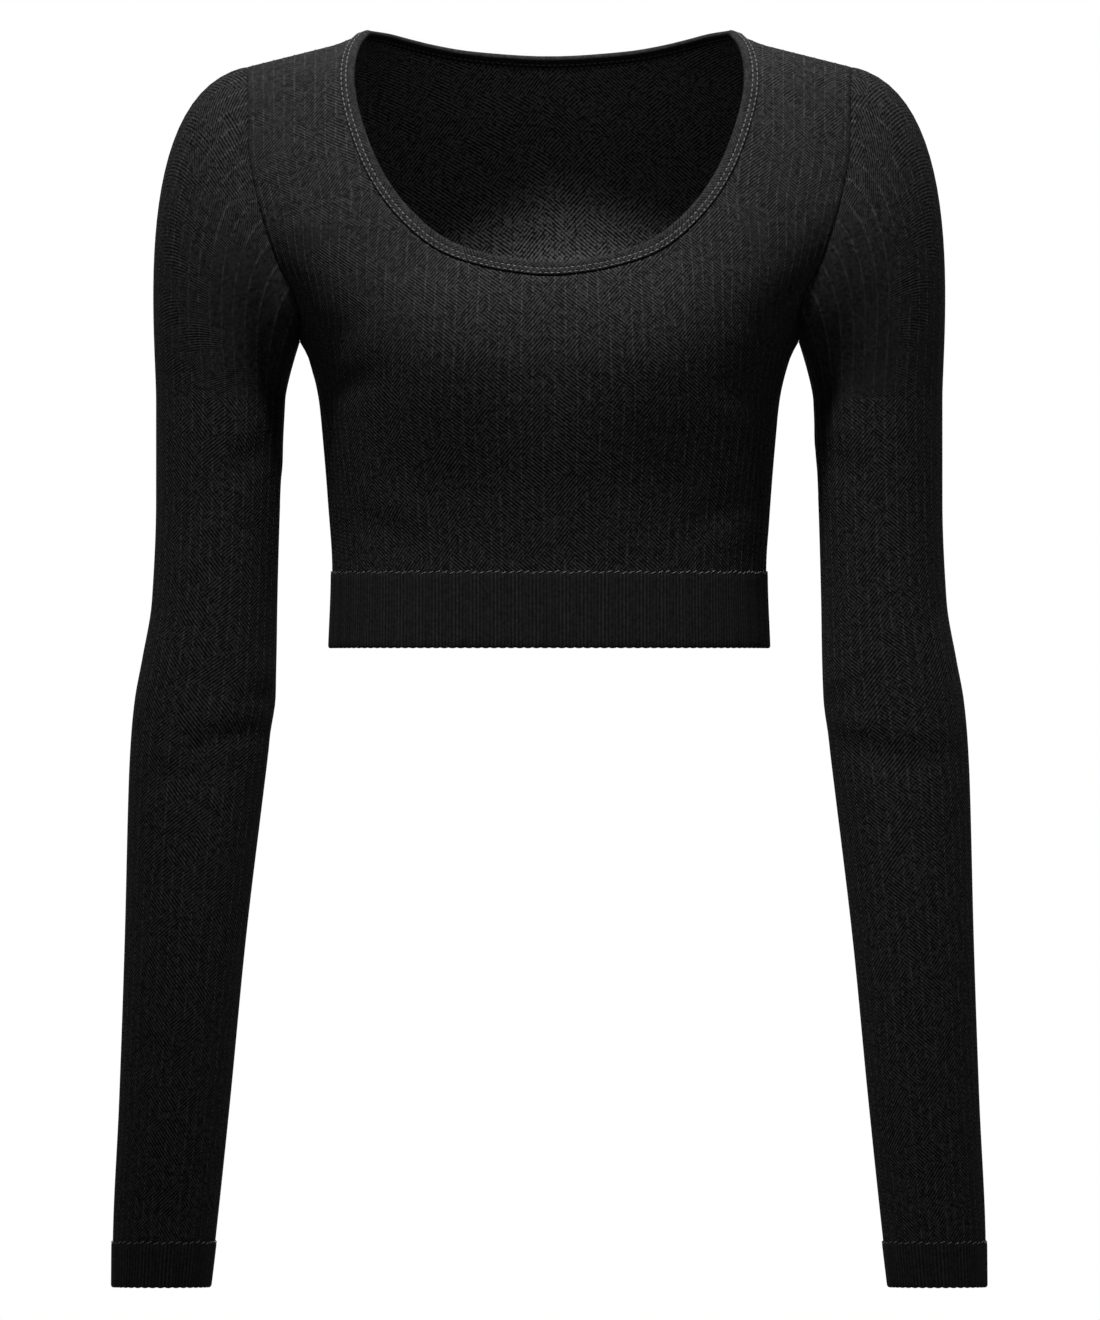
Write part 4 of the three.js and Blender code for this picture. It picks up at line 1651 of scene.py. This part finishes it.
@dataclass(frozen=True)
class Lamp:
    """One light: its power in watts, where it hangs and what it points at, in metres."""

    name: str
    kind: str
    watts: float
    place: tuple[float, float, float]
    aim: tuple[float, float, float]
    settings: dict[str, Any]

    def hang(self) -> None:
        """Hang the light."""
        light = bpy.data.lights.new(self.name, self.kind)
        light.energy = self.watts
        for setting, value in self.settings.items():
            setattr(light, setting, value)
        hung = bpy.data.objects.new(self.name, light)
        hung.location = self.place
        way = Vector(self.aim) - Vector(self.place)
        hung.rotation_euler = way.to_track_quat("-Z", "Y").to_euler()
        bpy.context.collection.objects.link(hung)


# A steep soft beam on the shoulders and chest, and a faint wide one over all
LAMPS = (
    Lamp("beam_on_chest", "SPOT", 3250, (-0.14, -0.66, 1.65), (-0.012, -0.03, 0.1),
         {"spot_size": math.radians(15.2), "spot_blend": 1.0, "shadow_soft_size": 0.22}),
    Lamp("overhead", "AREA", 12, (-0.26, -0.08, 1.6), (0, 0, -0.2),
         {"shape": "RECTANGLE", "size": 0.8, "size_y": 0.5}),
)


@dataclass(frozen=True)
class Studio:
    """A pale floor in white surroundings, soft light and the camera of the photograph."""

    floor_z: float = -2.6
    floor_reach: float = 4.0
    floor_colour: str = "#e6e6e4"
    floor_roughness: float = 0.9
    camera_x: float = 0.0004
    camera_z: float = -0.3393
    distance: float = 16.0
    frame_height: float = 0.7128
    film_height: float = 24.0
    sight: float = 60.0

    def floor(self) -> None:
        """Lay the pale floor."""
        corners = ((-1, -1), (1, -1), (1, 1), (-1, 1))
        points = [(x * self.floor_reach, y * self.floor_reach, self.floor_z) for x, y in corners]
        mesh = bpy.data.meshes.new("studio_floor")
        mesh.from_pydata(points, [], [(0, 1, 2, 3)])
        paper, tree = new_material("white_paper")
        shader = add_node(tree, "BsdfPrincipled", {
            "Base Color": linear(self.floor_colour), "Roughness": self.floor_roughness,
        })
        add_node(tree, "OutputMaterial", {0: shader.outputs[0]})
        mesh.materials.append(paper)
        floor = bpy.data.objects.new("studio_floor", mesh)
        bpy.context.collection.objects.link(floor)

    def surroundings(self) -> None:
        """Set the white surroundings."""
        world = bpy.data.worlds.new("white_room")
        world.use_nodes = True
        backing = world.node_tree.nodes["Background"]
        backing.inputs["Color"].default_value = (1, 1, 1, 1)
        backing.inputs["Strength"].default_value = 1.0
        bpy.context.scene.world = world

    def camera(self) -> None:
        """Stand the camera square in front, far off, as the photograph was taken."""
        lens = bpy.data.cameras.new("camera")
        lens.sensor_fit = "VERTICAL"
        lens.sensor_height = self.film_height
        lens.lens = self.film_height * self.distance / self.frame_height
        lens.clip_end = self.sight
        stand = bpy.data.objects.new("camera", lens)
        stand.location = (self.camera_x, -self.distance, self.camera_z)
        stand.rotation_euler = (math.pi / 2, 0, 0)
        bpy.context.collection.objects.link(stand)
        bpy.context.scene.camera = stand
        bpy.context.scene.view_settings.view_transform = "Standard"

    def build(self) -> None:
        """Set up all of it."""
        self.floor()
        for lamp in LAMPS:
            lamp.hang()
        self.surroundings()
        self.camera()


def main() -> None:
    """Build the studio and the garment."""
    logging.basicConfig(level=logging.INFO, format="%(message)s")
    Studio().build()
    finishes = make_finishes()
    torso, form = Torso(), SleeveForm()
    neck = neck_loop(torso, NECK_STATIONS)
    rims = {side: Panel(side, PANEL_CREASES[side]).build(torso, neck, finishes) for side in Side}
    for arm in Arm:
        Sleeve(arm, SLEEVE_CREASES[arm]).build(form, rims, finishes)
    NeckBinding().build(torso, neck, finishes)
    bands = [Band("hem_band", torso_ring(torso), HEM_TOP, HEM_BOTTOM,
                  proud=0.85, ribs=280, stitches=160)]
    for arm in Arm:
        bands.append(Band(f"cuff_{arm.name.lower()}", sleeve_ring(form, arm), CUFF_TOP, CUFF_BOTTOM,
                          proud=0.75, ribs=76, stitches=44))
    for band in bands:
        band.build(finishes)

    bpy.context.view_layer.update()


if __name__ == "__main__":
    main()
